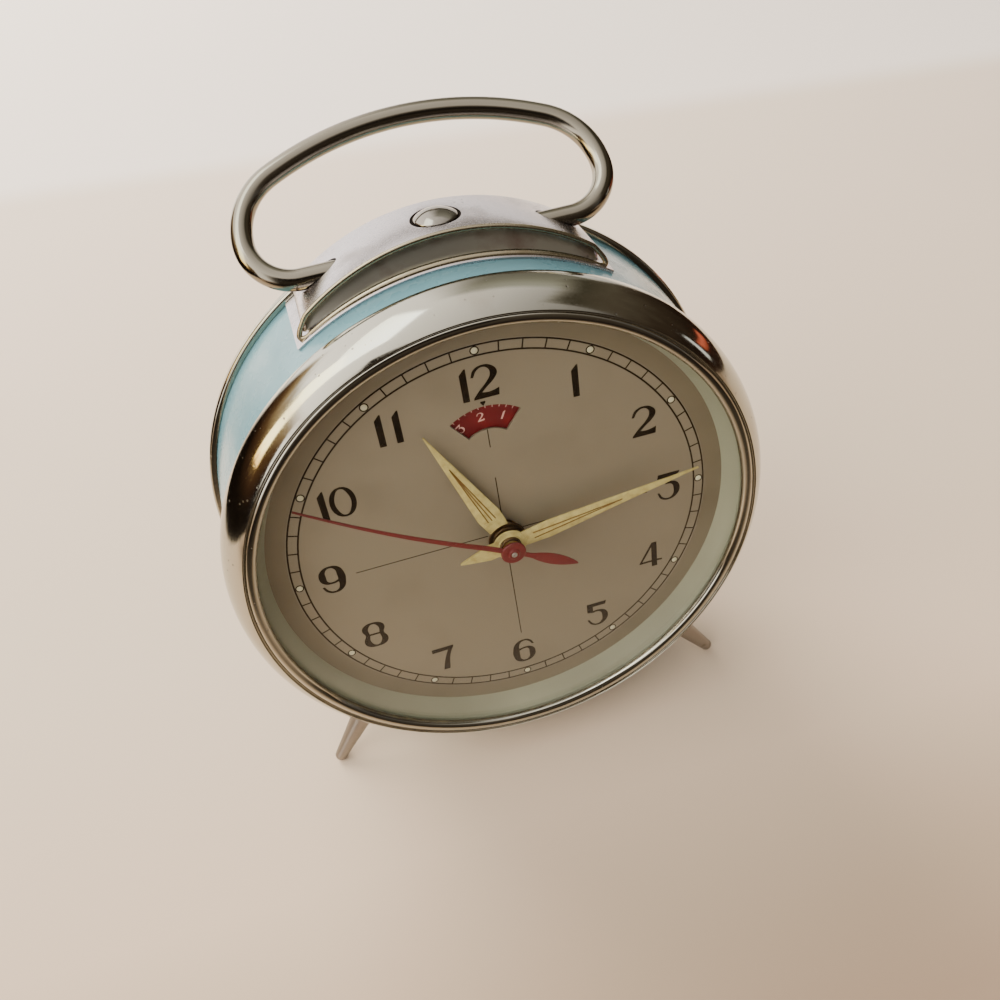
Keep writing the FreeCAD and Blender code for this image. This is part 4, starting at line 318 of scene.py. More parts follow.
@dataclass(frozen=True)
class Grained(Finish):
    """A finish with a fine grain, which roughness and relief follow, and patches of a second shade."""

    shade: str = "#000000"
    metallic: float = 1.0
    shine: float = 0.5
    grain_mm: float = 0.25
    grain_detail: float = 3.0
    grain_stretch: float = 1.0
    patch_mm: float = 3.0
    patch_edge: Span = (0.55, 0.75)
    patch_detail: float = 5.0
    smoother: float = 0.08
    rougher: float = 0.12

    def draw(self, tree: Tree, shader: Node, place: Socket) -> Socket:
        """Draw the patches, and the grain over them.

        Args:
            tree: The material's node tree.
            shader: Its Principled shader.
            place: Object coordinates in metres.

        Returns:
            Height of the grain.
        """
        shader.inputs["Metallic"].default_value = self.metallic
        shader.inputs["Specular IOR Level"].default_value = self.shine
        patches = self.patches(tree, place, self.patch_mm, self.patch_edge, self.patch_detail)
        values = {0: patches, 6: linear(self.colour), 7: linear(self.shade)}
        tree.links.new(add(tree, "ShaderNodeMix", values, data_type="RGBA").outputs[2],
                       shader.inputs["Base Color"])
        if self.grain_stretch != 1.0:
            values = {"Vector": place, "Scale": (self.grain_stretch, 1.0, 1.0)}
            place = add(tree, "ShaderNodeMapping", values).outputs[0]
        values = {"Vector": place, "Scale": per_metre(self.grain_mm), "Detail": self.grain_detail}
        grain = add(tree, "ShaderNodeTexNoise", values).outputs[0]
        low, high = self.roughness - self.smoother, self.roughness + self.rougher
        rough = add(tree, "ShaderNodeMapRange", {"Value": grain, "To Min": low, "To Max": high})
        tree.links.new(rough.outputs[0], shader.inputs["Roughness"])
        return grain


@dataclass(frozen=True)
class DrawnSteel(Grained):
    """Drawn or turned steel: satin, with fine drawing lines and dull grey spots."""

    shade: str = "#4A4744"


@dataclass(frozen=True)
class SatinLacquer(Grained):
    """Silver lacquer sprayed on a brass dial: a soft metallic sheen with a fine grain and light stains."""

    relief_mm: float = 0.006
    relief_strength: float = 0.2
    metallic: float = 0.3
    grain_mm: float = 0.3
    grain_detail: float = 2.0
    patch_mm: float = 14.0
    patch_edge: Span = (0.5, 0.8)
    patch_detail: float = 6.0
    smoother: float = 0.05
    rougher: float = 0.08


@dataclass(frozen=True)
class MattPaint(Grained):
    """Brushed or printed paint: an even colour, slightly uneven in tone, with a dry or silky skin."""

    relief_mm: float = 0.012
    metallic: float = 0.0
    patch_edge: Span = (0.35, 0.7)
    patch_detail: float = 4.0
    smoother: float = 0.06
    rougher: float = 0.06


@dataclass(frozen=True)
class MovementBrass(Grained):
    """Rolled clock brass: warm yellow metal with fine brushing and a few darker finger marks."""

    relief_mm: float = 0.006
    shade: str = "#7A5A2C"
    grain_mm: float = 0.12
    grain_detail: float = 2.0
    grain_stretch: float = 0.06
    patch_mm: float = 8.0
    patch_edge: Span = (0.5, 0.8)
    rougher: float = 0.14


@dataclass(frozen=True)
class ClearDome(Finish):
    """Pressed clear glass: nearly all light passes, with mirror images of the lights and faint smears."""

    smear: float = 0.05
    smear_mm: float = 7.0
    ior: float = 1.5
    shine: float = 0.25
    # Grey, so that the mirrored room lies only faintly over the dial
    mirror_tint: str = "#6A6A6A"
    shadow_tint: str = "#F4F7F5"

    def draw(self, tree: Tree, shader: Node, place: Socket) -> None:
        """Clear glass that lets lamps through to the dial.

        Args:
            tree: The material's node tree.
            shader: Its Principled shader.
            place: Object coordinates in metres.
        """
        shader.inputs["Base Color"].default_value = linear(self.colour)
        shader.inputs["IOR"].default_value = self.ior
        shader.inputs["Transmission Weight"].default_value = 1.0
        shader.inputs["Specular IOR Level"].default_value = self.shine
        shader.inputs["Specular Tint"].default_value = linear(self.mirror_tint)
        self.rub(tree, shader, self.patches(tree, place, self.smear_mm, (0.55, 0.8), detail=6.0), self.smear)
        output = next(n for n in tree.nodes if n.type == "OUTPUT_MATERIAL")
        ray = add(tree, "ShaderNodeLightPath").outputs["Is Shadow Ray"]
        through = add(tree, "ShaderNodeBsdfTransparent", {"Color": linear(self.shadow_tint)})
        mixed = add(tree, "ShaderNodeMixShader", {0: ray, 1: shader.outputs[0], 2: through.outputs[0]})
        tree.links.new(mixed.outputs[0], output.inputs["Surface"])


# Chromium plate on pressed steel, aged: a bright mirror, hazed brown in places and pitted
CHROME = PlatedMetal("aged_chromium_plate", "#B5B3A6", 0.06, haze_share=0.25)
# The same plate on parts that hands rub: more haze, and a soft mirror
RUBBED_CHROME = PlatedMetal("rubbed_chromium_plate", "#CFCACE", 0.21, haze="#857C72", haze_share=0.5,
                            pit_share=0.3)
# Plate inside the bridge's front, which the hand seldom reaches: a soft pale mirror with brown haze and pits
PANEL_PLATE = PlatedMetal("sheltered_mirror_plate", "#DADACF", 0.32, haze="#8A665A", haze_share=0.75,
                          pit_share=0.6, pit_mm=2.6, scratch=0.02)
# Plate worn thin on the rolled edge of the bridge: greyer, with yellow brown haze
WORN_EDGE = PlatedMetal("worn_rolled_edge_plate", "#A69C84", 0.2, haze="#7A6A4C", haze_share=0.6,
                        pit_share=0.4, haze_mm=6.0)
# Plate on the button, rubbed by fingers: a darker mirror with grey brown haze
BUTTON_PLATE = PlatedMetal("finger_worn_plate", "#8F8B83", 0.07, haze="#5E574E", haze_share=0.45,
                           haze_mm=4.0)
# Plated drawn wire: satin from wear, with hardly any pits
WIRE = PlatedMetal("worn_plated_wire", "#8C877A", 0.13, haze_share=0.15, pit_share=0.1, haze_mm=5.0,
                   scratch=0.04)
# Nickel plate on die-cast keys and knobs: warmer and softer than chromium
NICKEL = PlatedMetal("nickel_plate", "#B9B4A8", 0.22, haze="#7E7464", pit_share=0.3)
# Light blue stoving enamel of the drum and the back: gloss with a faint orange peel
BLUE_ENAMEL = StovedEnamel("light_blue_stoved_enamel", "#6B99A4", 0.24, shade="#608E9A", coat=0.3)
# Green-cream enamel of the ring around the dial: nearly matt under the glass
CREAM_ENAMEL = StovedEnamel("green_cream_enamel", "#A2A28A", 0.4, shade="#95957E", coat=0.12)
# Silver lacquer of the dial, browned with age: a soft sheen without a mirror image
DIAL_SILVER = SatinLacquer("satin_silver_lacquer", "#8D816D", 0.46, shade="#847864")
# The same lacquer, darker, on the sunk brim of the dial: painted shade of the ring and bezel over the dial's
# edge
SHADED_DIAL_BRIM = SatinLacquer("dulled_silver_lacquer", "#7C705B", 0.5, shade="#716550")
# Painted shade filling the gap round the stop button: almost black, without a shine
BUTTON_GAP_SHADE = MattPaint("packed_grime", "#17120D", 0.9, shade="#0D0A07", grain_mm=0.2, patch_mm=0.8,
                  shine=0.1)
# Printing ink on the dial: almost black brown, dry
INK = MattPaint("dark_brown_printing_ink", "#20160C", 0.85, shade="#181008", grain_mm=0.3, patch_mm=1.2,
                shine=0.1)
# Luminous paint of the hands: chalky, yellowed with age
LUME = MattPaint("yellowed_luminous_paint", "#CBBB78", 0.7, shade="#B29D5E", grain_mm=0.35, patch_mm=1.4,
                 relief_mm=0.03)
# The same paint on the hour dots: paler and less worn
DOT_LUME = MattPaint("pale_luminous_paint", "#D9D3B4", 0.7, shade="#C9C19B", grain_mm=0.3, patch_mm=1.2,
                     relief_mm=0.03)
# Bronzed brass of the raised lines on the hands: satin brown metal
BRONZE = DrawnSteel("bronzed_brass", "#8A6E48", 0.38, shade="#4A3824")
# The same brass, darker around the hub: browned by age, and darker still as painted shade of the boss and
# pipe
HUB_BRONZE_AND_SHADE = DrawnSteel("browned_brass", "#5A4630", 0.36, shade="#2E2216")
# Red lacquer of the seconds hand: dark, thin, with a dull shine
RED = StovedEnamel("red_lacquer", "#6E1417", 0.42, shade="#5C1013", coat=0.08)
# Dark red paint of the alarm disc: dry and even
ALARM_RED = MattPaint("dark_red_disc_paint", "#6E1015", 0.5, shade="#5A0B10", grain_mm=0.6, patch_mm=2.4,
                      shine=0.3)
# The pale print on it
PINK_PRINT = MattPaint("pale_pink_print", "#D8A79C", 0.6, shade="#C88F86", grain_mm=0.3, patch_mm=1.2)
# Clear pressed glass of the dome: the dial shows through with weak mirror images over it
GLASS = ClearDome("clear_pressed_glass", "#FBFDFC", 0.015)
# Turned steel of arbors, screws and nuts: grey satin
STEEL = DrawnSteel("turned_steel", "#A8A7A5", 0.36)
# The feet's steel, dulled by handling: browner and darker
FOOT_STEEL = DrawnSteel("dull_turned_steel", "#9A938B", 0.36, shade="#6C655D", grain_mm=0.4)
# Pressed steel of the bell: smoother and cooler
BELL_STEEL = DrawnSteel("pressed_bell_steel", "#9A9A9E", 0.3)
# Spring steel tempered blue: dark blue satin
BLUED = DrawnSteel("blued_spring_steel", "#3C4A6E", 0.3, shade="#26304C")
# Rolled brass of plates and wheels: warm and brushed
BRASS = MovementBrass("rolled_clock_brass", "#C9A45C", 0.34)


@dataclass
class Shape:
    """A mesh in the making: points in millimetres and the faces over them."""

    points: list[Point3] = field(default_factory=list)
    faces: list[tuple[int, ...]] = field(default_factory=list)

    def add(self, other: "Shape") -> "Shape":
        """Take in another shape.

        Args:
            other: Shape whose points and faces are added.

        Returns:
            This shape.
        """
        shift = len(self.points)
        self.points += other.points
        self.faces += [tuple(i + shift for i in f) for f in other.faces]
        return self

    def placed(self, matrix: Matrix) -> "Shape":
        """The same shape moved by a matrix in millimetres."""
        return Shape([tuple(matrix @ Vector(p)) for p in self.points], list(self.faces))


def spaced(start: float, end: float, steps: int) -> list[float]:
    """Evenly spaced values from start to end, both included."""
    return [start + (end - start) * i / steps for i in range(steps + 1)]


def arc(centre: Point2, radius: float, start_deg: float, end_deg: float, steps: int) -> list[Point2]:
    """Points along an arc, its ends included.

    Args:
        centre: Centre of the arc.
        radius: Its radius.
        start_deg: Angle of the first point.
        end_deg: Angle of the last point.
        steps: Number of chords.

    Returns:
        Points in order.
    """
    turn = (end_deg - start_deg) / steps
    angles = [math.radians(start_deg + turn * i) for i in range(steps + 1)]
    return [(centre[0] + radius * math.cos(a), centre[1] + radius * math.sin(a)) for a in angles]


def arc_through(first: Point2, middle: Point2, last: Point2, steps: int) -> list[Point2]:
    """Points along the arc through three points.

    Args:
        first: Where the arc starts.
        middle: A point on the way.
        last: Where it ends.
        steps: Number of chords.

    Returns:
        Points in order, first and last included.
    """
    (ax, ay), (bx, by), (cx, cy) = first, middle, last
    d = 2.0 * (ax * (by - cy) + bx * (cy - ay) + cx * (ay - by))
    a2, b2, c2 = ax * ax + ay * ay, bx * bx + by * by, cx * cx + cy * cy
    centre = ((a2 * (by - cy) + b2 * (cy - ay) + c2 * (ay - by)) / d,
              (a2 * (cx - bx) + b2 * (ax - cx) + c2 * (bx - ax)) / d)
    angles = [math.atan2(p[1] - centre[1], p[0] - centre[0]) for p in (first, middle, last)]
    sweep = (angles[2] - angles[0]) % FULL_TURN
    if (angles[1] - angles[0]) % FULL_TURN > sweep:
        sweep -= FULL_TURN
    start = math.degrees(angles[0])
    return arc(centre, math.dist(centre, first), start, start + math.degrees(sweep), steps)


# A point nearer to the axis than this is on it
ON_AXIS = 1e-6


def lathe(profile: list[Point2], segments: int, closed: bool = True) -> Shape:
    """Turn a profile about the axis of the dial.

    Args:
        profile: Radius and depth of each point.
        segments: Steps around the axis.
        closed: Whether the last point joins the first.

    Returns:
        The turned shape.
    """
    shape = Shape()
    rings: list[list[int]] = []
    for radius, depth in profile:
        count = segments if radius > ON_AXIS else 1
        start = len(shape.points)
        for k in range(count):
            a = FULL_TURN * k / segments
            shape.points.append((radius * math.sin(a), depth, radius * math.cos(a)))
        rings.append(list(range(start, start + count)))
    pairs = list(zip(rings, rings[1:])) + ([(rings[-1], rings[0])] if closed else [])
    for near, far in pairs:
        if len(near) == 1 and len(far) == 1:
            continue
        for k in range(segments):
            m = (k + 1) % segments
            corners = (near[k % len(near)], near[m % len(near)], far[m % len(far)], far[k % len(far)])
            shape.faces.append(tuple(dict.fromkeys(corners)))
    return shape


def loft(rows: list[list[Point3]]) -> Shape:
    """Skin over sections of equally many points, closed around and at both ends.

    Args:
        rows: Points around each section, in order.

    Returns:
        The closed shape.
    """
    side = len(rows[0])
    shape = Shape([point for row in rows for point in row])
    for start in range(0, side * (len(rows) - 1), side):
        for k in range(side):
            m = (k + 1) % side
            shape.faces.append((start + k, start + m, start + side + m, start + side + k))
    shape.faces.append(tuple(reversed(range(side))))
    shape.faces.append(tuple(range(len(shape.points) - side, len(shape.points))))
    return shape


def strip(left: float, right: float, low: float, high: float, front: float, back: float) -> Shape:
    """Flat plate with four square corners, in the plane of the dial.

    Args:
        left: Its least x.
        right: Its greatest x.
        low: Its least z.
        high: Its greatest z.
        front: Depth of its front face.
        back: Depth of its back face.

    Returns:
        The plate.
    """
    return plate([(left, low), (right, low), (right, high), (left, high)], front, back)


def plate(outline: list[Point2], front: float, back: float) -> Shape:
    """Flat plate with a convex or gently curved outline, in the plane of the dial.

    Args:
        outline: Corners, x and z.
        front: Depth of its front face.
        back: Depth of its back face.

    Returns:
        The plate.
    """
    count = len(outline)
    points = [(x, front, z) for x, z in outline] + [(x, back, z) for x, z in outline]
    sides = [(i, (i + 1) % count, count + (i + 1) % count, count + i) for i in range(count)]
    return Shape(points, [tuple(range(count)), tuple(reversed(range(count, 2 * count)))] + sides)


@dataclass(frozen=True)
class ClockAxes:
    """Where the dial's centre is in the row frame and which way the dial faces."""

    centre: Vector
    back: Vector

    @classmethod
    def from_joints(cls, joints: list[dict]) -> "ClockAxes":
        """Read the axes from the seconds hand's hinge."""
        hinge = next(j for j in joints if j["name"] == "seconds_hand")
        return cls(Vector(hinge["pos_m"]), Vector(hinge["axis"]))

    @property
    def to_row(self) -> Matrix:
        """Matrix from the clock's frame in millimetres to the row frame in metres.

        Returns:
            The matrix.
        """
        right = Vector((1.0, 0.0, 0.0))
        turn = Matrix((right, self.back, right.cross(self.back))).transposed().to_4x4()
        return Matrix.Translation(self.centre) @ turn @ Matrix.Scale(MM, 4)

    def direction(self, across: Vector) -> Vector:
        """A direction of the clock's frame as one of the row frame."""
        return (self.to_row.to_3x3() @ across).normalized()


@dataclass
class Bench:
    """Turns shapes into pieces that ride on the clock's bodies."""

    axes: ClockAxes
    cad: dict[str, bpy.types.Object]
    merge_mm: float = 0.001

    def piece(
        self,
        name: str,
        form: Shape | bpy.types.Mesh,
        finish: Finish,
        body: Body,
        slot: str,
        replaces: tuple[str, ...] = (),
        sharp_deg: float = 35.0,
    ) -> bpy.types.Object:
        """Make a piece from a shape or a mesh.

        Args:
            name: Name of the piece.
            form: Shape in millimetres in the clock's frame, or mesh in metres in the row frame.
            finish: Its finish.
            body: Body that it rides on.
            slot: Name of a material slot of the record; not used.
            replaces: CAD nodes that it stands for.
            sharp_deg: Angle over which an edge stays sharp.

        Returns:
            The piece's object.
        """
        mesh = form
        if isinstance(form, Shape):
            mesh = bpy.data.meshes.new(name)
            mesh.from_pydata(form.points, [], form.faces)
            mesh.transform(self.axes.to_row)
        work = bmesh.new()
        work.from_mesh(mesh)
        bmesh.ops.remove_doubles(work, verts=work.verts, dist=self.merge_mm * MM)
        bmesh.ops.dissolve_degenerate(work, edges=work.edges, dist=self.merge_mm / 2.0 * MM)
        bmesh.ops.recalc_face_normals(work, faces=work.faces)
        for face in work.faces:
            face.smooth = True
            face.material_index = 0
        limit = math.radians(sharp_deg)
        for edge in work.edges:
            edge.smooth = len(edge.link_faces) == 2 and edge.calc_face_angle(0.0) < limit
        work.to_mesh(mesh)
        work.free()
        mesh.materials.clear()
        mesh.materials.append(finish.material())
        piece = bpy.data.objects.new(name, mesh)
        bpy.context.scene.collection.objects.link(piece)
        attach(piece, body.value)
        if replaces:
            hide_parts(*replaces)
        log.info("%s rides on %s, %d faces", name, body.value, len(mesh.polygons))
        return piece

    def merged_copy(
        self, node: str, finish: Finish, body: Body, slot: str, sharp_deg: float = 32.0
    ) -> bpy.types.Object:
        """Show a CAD node as a merged copy with smooth curved faces.

        Args:
            node: The CAD node.
            finish: Its finish.
            body: Body that it rides on.
            slot: Name of a material slot of the record; handed on to piece, not used.
            sharp_deg: Angle over which an edge stays sharp.

        Returns:
            The piece's object.
        """
        mesh = self.cad[node].data.copy()
        return self.piece(PIECE_PREFIX + node, mesh, finish, body, slot, (node,), sharp_deg)

    def dress(self, nodes: tuple[str, ...], finish: Finish) -> None:
        """Give CAD nodes a finish and leave their meshes alone.

        Args:
            nodes: The nodes' names.
            finish: Their finish.
        """
        for node in nodes:
            slots = self.cad[node].data.materials
            slots.clear()
            slots.append(finish.material())
        log.info("%s: %s", finish.name, ", ".join(nodes))


def geometry_tree(name: str, sizes: dict[str, str]) -> Tree:
    """Start a Geometry Nodes tree with named inputs.

    Args:
        name: Name of the tree.
        sizes: Each input's name with its kind; a finish is added to them.

    Returns:
        The tree, with its inputs and its output and no nodes yet.
    """
    tree = bpy.data.node_groups.new(name, "GeometryNodeTree")
    for label, kind in ({"Geometry": "Geometry"} | sizes | {"Finish": "Material"}).items():
        tree.interface.new_socket(label, in_out="INPUT", socket_type="NodeSocket" + kind)
    tree.interface.new_socket("Geometry", in_out="OUTPUT", socket_type="NodeSocketGeometry")
    return tree


def finished_tree(tree: Tree, parts: Socket, finish: Socket) -> Tree:
    """End a Geometry Nodes tree: make its parts real and dress them.

    Args:
        tree: The tree.
        parts: What it has made.
        finish: Its input with the material.

    Returns:
        The same tree.
    """
    solid = add(tree, "GeometryNodeRealizeInstances", {0: parts}).outputs[0]
    dressed = add(tree, "GeometryNodeSetMaterial", {"Geometry": solid, "Material": finish}).outputs[0]
    add(tree, "NodeGroupOutput", {0: dressed})
    return tree


class RingOfParts:
    """Geometry Nodes tree that repeats a part around a circle in the plane of the dial."""

    NAME = "ring_of_parts"

    def __init__(self) -> None:
        """Build the tree with its named inputs."""
        tree = geometry_tree(self.NAME, {"Part": "Object", "Count": "Int", "Radius": "Float",
                                         "First angle": "Float", "Leave out every": "Int"})
        inlet = add(tree, "NodeGroupInput").outputs
        index = add(tree, "GeometryNodeInputIndex").outputs[0]
        step = add(tree, "ShaderNodeMath", {0: FULL_TURN, 1: inlet["Count"]}, operation="DIVIDE").outputs[0]
        turned = {0: index, 1: step, 2: inlet["First angle"]}
        angle = add(tree, "ShaderNodeMath", turned, operation="MULTIPLY_ADD").outputs[0]
        sine = add(tree, "ShaderNodeMath", {0: angle}, operation="SINE").outputs[0]
        cosine = add(tree, "ShaderNodeMath", {0: angle}, operation="COSINE").outputs[0]
        out = add(tree, "ShaderNodeCombineXYZ", {0: sine, 2: cosine}).outputs[0]
        reach = {0: out, "Scale": inlet["Radius"]}
        spot = add(tree, "ShaderNodeVectorMath", reach, operation="SCALE").outputs[0]
        points = add(tree, "GeometryNodePoints", {"Count": inlet["Count"], "Position": spot}).outputs[0]
        every = inlet["Leave out every"]
        left = add(tree, "ShaderNodeMath", {0: index, 1: every}, operation="MODULO").outputs[0]
        kept = add(tree, "FunctionNodeCompare", {0: left, 1: 0.5}, operation="GREATER_THAN").outputs[0]
        none = add(tree, "FunctionNodeCompare", {0: every, 1: 0.5}, operation="LESS_THAN").outputs[0]
        chosen = add(tree, "FunctionNodeBooleanMath", {0: kept, 1: none}, operation="OR").outputs[0]
        part = add(tree, "GeometryNodeObjectInfo", {"Object": inlet["Part"]}).outputs["Geometry"]
        turn = add(tree, "ShaderNodeCombineXYZ", {1: angle}).outputs[0]
        placing = {"Points": points, "Selection": chosen, "Instance": part, "Rotation": turn}
        parts = add(tree, "GeometryNodeInstanceOnPoints", placing).outputs[0]
        self.tree = finished_tree(tree, parts, inlet["Finish"])

    def repeat(
        self,
        part: Shape,
        count: int,
        radius: float,
        finish: Finish,
        first_deg: float = 0.0,
        leave_out_every: int = 0,
    ) -> Shape:
        """Repeat a part around a circle.

        Args:
            part: The part at the circle's centre, its outward side towards z.
            count: Places around the circle.
            radius: Radius of the circle.
            finish: Finish set in the tree.
            first_deg: Angle of the first place, clockwise from twelve.
            leave_out_every: Places that are a multiple of this stay empty, 0 for none.

        Returns:
            All the copies as one shape.
        """
        mesh = bpy.data.meshes.new("part")
        mesh.from_pydata(part.points, [], part.faces)
        first = math.radians(first_deg)
        return evaluated(self.tree, {"Part": mesh, "Count": count, "Radius": radius, "First angle": first,
                                     "Leave out every": leave_out_every, "Finish": finish.material()})


class BarAlongPath:
    """Geometry Nodes tree that runs a round bar along a line of points."""

    NAME = "bar_along_path"

    def __init__(self) -> None:
        """Build the tree with its named inputs."""
        tree = geometry_tree(self.NAME, {"Path": "Object", "Radius": "Float", "Sides": "Int"})
        inlet = add(tree, "NodeGroupInput").outputs
        line = add(tree, "GeometryNodeObjectInfo", {"Object": inlet["Path"]}).outputs["Geometry"]
        curve = add(tree, "GeometryNodeMeshToCurve", {0: line}).outputs[0]
        size = {"Resolution": inlet["Sides"], "Radius": inlet["Radius"]}
        ring = add(tree, "GeometryNodeCurvePrimitiveCircle", size).outputs[0]
        share = add(tree, "GeometryNodeInputNamedAttribute", {"Name": "share"}, data_type="FLOAT").outputs[0]
        skin = {"Curve": curve, "Profile Curve": ring, "Scale": share, "Fill Caps": True}
        bar = add(tree, "GeometryNodeCurveToMesh", skin).outputs[0]
        self.tree = finished_tree(tree, bar, inlet["Finish"])

    def run(
        self,
        path: list[Point3],
        radius: float,
        sides: int,
        finish: Finish,
        closed: bool = False,
        shares: list[float] | None = None,
    ) -> Shape:
        """Make a bar.

        Args:
            path: Points of its centre line.
            radius: Its radius.
            sides: Steps around it.
            finish: Finish set in the tree.
            closed: Whether the line ends where it starts.
            shares: Share of the radius at each point, or None for a bar of one thickness.

        Returns:
            The bar, with closed ends where the line is open.
        """
        line = bpy.data.meshes.new("line")
        edges = [(i, i + 1) for i in range(len(path) - 1)] + ([(len(path) - 1, 0)] if closed else [])
        line.from_pydata(path, edges, [])
        spread = line.attributes.new("share", "FLOAT", "POINT")
        spread.data.foreach_set("value", shares or [1.0] * len(path))
        return evaluated(self.tree, {"Path": line, "Radius": radius, "Sides": sides,
                                     "Finish": finish.material()})


def evaluated(tree: Tree, values: dict) -> Shape:
    """Run a Geometry Nodes tree once and take its result as a shape.

    Args:
        tree: The tree.
        values: Its inputs by name; a mesh stands for an object that holds it.

    Returns:
        The realised mesh.
    """
    holder = bpy.data.objects.new("holder", bpy.data.meshes.new("holder"))
    things = [holder]
    for label, value in values.items():
        if isinstance(value, bpy.types.Mesh):
            sample = bpy.data.objects.new(value.name, value)
            things.append(sample)
            values[label] = sample
    for thing in things:
        bpy.context.scene.collection.objects.link(thing)
    modifier = holder.modifiers.new(tree.name, "NODES")
    modifier.node_group = tree
    for item in tree.interface.items_tree:
        if item.in_out == "INPUT" and item.name in values:
            modifier[item.identifier] = values[item.name]
    holder.update_tag()
    shape = taken(holder)
    for thing in things:
        bpy.data.objects.remove(thing)
    return shape


def taken(thing: bpy.types.Object) -> Shape:
    """Take an object's evaluated mesh as a shape.

    Args:
        thing: Object with modifiers, or a curve.

    Returns:
        Its mesh as a shape.
    """
    bpy.context.view_layer.update()
    graph = bpy.context.evaluated_depsgraph_get()
    made = bpy.data.meshes.new_from_object(thing.evaluated_get(graph))
    shape = Shape([tuple(v.co) for v in made.vertices], [tuple(p.vertices) for p in made.polygons])
    bpy.data.meshes.remove(made)
    return shape


# Points nearer to each other than this many millimetres are one before a cut
CUT_MERGE = 0.001


def cut(body: Shape, tools: list[Shape]) -> Shape:
    """Cut shapes out of a closed body.

    Args:
        body: The body.
        tools: Closed shapes to take away.

    Returns:
        What is left.
    """
    things = []
    for shape in [body, *tools]:
        mesh = bpy.data.meshes.new("cut")
        mesh.from_pydata(shape.points, [], shape.faces)
        work = bmesh.new()
        work.from_mesh(mesh)
        bmesh.ops.remove_doubles(work, verts=work.verts, dist=CUT_MERGE)
        bmesh.ops.recalc_face_normals(work, faces=work.faces)
        work.to_mesh(mesh)
        work.free()
        thing = bpy.data.objects.new("cut", mesh)
        bpy.context.scene.collection.objects.link(thing)
        things.append(thing)
    for tool in things[1:]:
        modifier = things[0].modifiers.new("cut", "BOOLEAN")
        modifier.operation = "DIFFERENCE"
        modifier.solver = "EXACT"
        modifier.object = tool
    shape = taken(things[0])
    for thing in things:
        bpy.data.objects.remove(thing)
    return shape


# Outlines of the dial's figures in millimetres about each figure's centre. A point with ~ lies
# on a curve, the others are corners.
FIGURES = {
    "0": ("~-2.45,0 ~0,3.4 ~2.45,0 ~0,-3.4", "~-1.15,-2 ~-1.15,2 ~0,3.08 ~1.15,2 ~1.15,-2 ~0,-3.08"),
    "1": ("-0.58,2.3 0.42,3.35 0.58,3.35 0.55,-3.3 -0.55,-3.3",),
    "2": (
        "-2.35,1.4 ~-1.75,2.75 ~-0.1,3.4 ~1.7,2.8 ~2.4,1.5 ~1.7,0.2 ~0.2,-1.1 -0.9,-2.15 ~0.3,-2.35 "
        "~1.3,-2.25 2.4,-1.9 2.25,-3.3 -2.35,-3.3 -2.3,-3.0 ~-1.1,-1.6 ~0.4,-0.1 ~1.2,1.35 ~0.9,2.6 "
        "~-0.1,3.1 ~-1.25,2.6 -2.0,1.35",
    ),
    "3": (
        "-2.15,3.35 2.35,3.35 2.3,3.1 0.5,1.1 ~1.6,0.75 ~2.4,-0.9 ~1.6,-2.75 ~0,-3.4 ~-1.6,-2.85 "
        "-2.35,-1.3 -2.05,-1.3 ~-1.3,-2.65 ~0,-3.1 ~0.95,-2.5 ~1.2,-0.9 ~0.75,0.45 ~-0.1,0.75 "
        "-0.6,0.75 1.25,2.5 -2.3,2.4",
    ),
    "4": (
        "0.6,3.4 1.6,3.4 1.6,-1.6 2.75,-1.75 2.75,-2.05 1.6,-1.95 1.6,-3.3 0.5,-3.3 0.5,-1.95 "
        "-2.3,-1.95 -2.3,-1.75",
        "0.5,2.5 -1.85,-1.6 0.5,-1.6",
    ),
    "5": (
        "-2.15,3.35 2.2,3.35 1.95,2.5 -0.95,2.5 -0.95,1.05 ~0.3,1.15 ~1.8,0.55 ~2.4,-0.9 ~1.6,-2.75 "
        "~0,-3.4 ~-1.5,-2.85 -2.3,-1.4 -2.0,-1.4 ~-1.2,-2.65 ~0,-3.1 ~0.95,-2.4 ~1.2,-0.9 ~0.85,0.4 "
        "~0,0.8 -0.95,0.65 -2.15,0.95",
    ),
    "6": (
        "2.3,1.55 ~1.6,2.85 ~0.2,3.4 ~-1.6,2.7 ~-2.45,0.6 ~-2.45,-1.2 ~-1.7,-2.85 ~0,-3.4 ~1.75,-2.75 "
        "~2.45,-1 ~1.75,0.6 ~0.2,1.0 -1.1,0.75 ~-1.1,1.6 ~-0.6,2.75 ~0.25,3.1 ~1.35,2.6 2.0,1.5",
        "-1.15,0.3 ~0.1,0.7 ~1,0.4 ~1.2,-0.9 ~1,-2.5 ~0,-3.1 ~-0.95,-2.5 ~-1.15,-1",
    ),
    "7": ("-2.35,3.35 2.35,3.4 2.3,3.05 ~1.35,0.9 0.65,-3.3 -0.6,-3.3 ~0.1,-0.4 1.2,2.5 -2.3,2.4",),
    "8": (
        "~0,3.4 ~1.9,2.75 ~2.3,1.7 ~1.85,0.2 ~2.45,-1.6 ~1.9,-2.9 ~0,-3.4 ~-1.9,-2.9 ~-2.45,-1.6 "
        "~-1.85,0.2 ~-2.3,1.7 ~-1.9,2.75",
        "-1.1,0.3 ~-1.15,2 ~0,3.1 ~1.15,2 1.1,0.3",
        "-1.1,0 1.1,0 ~1.2,-1.9 ~0,-3.1 ~-1.2,-1.9",
    ),
}
# A nine is a six turned half round
HALF_TURN_OF = {"9": "6"}
# The printed strokes are this much wider on each side than the outlines
BOLDER = 0.07
# Chords of a curved stroke between two of its points
CURVE_STEPS = 5


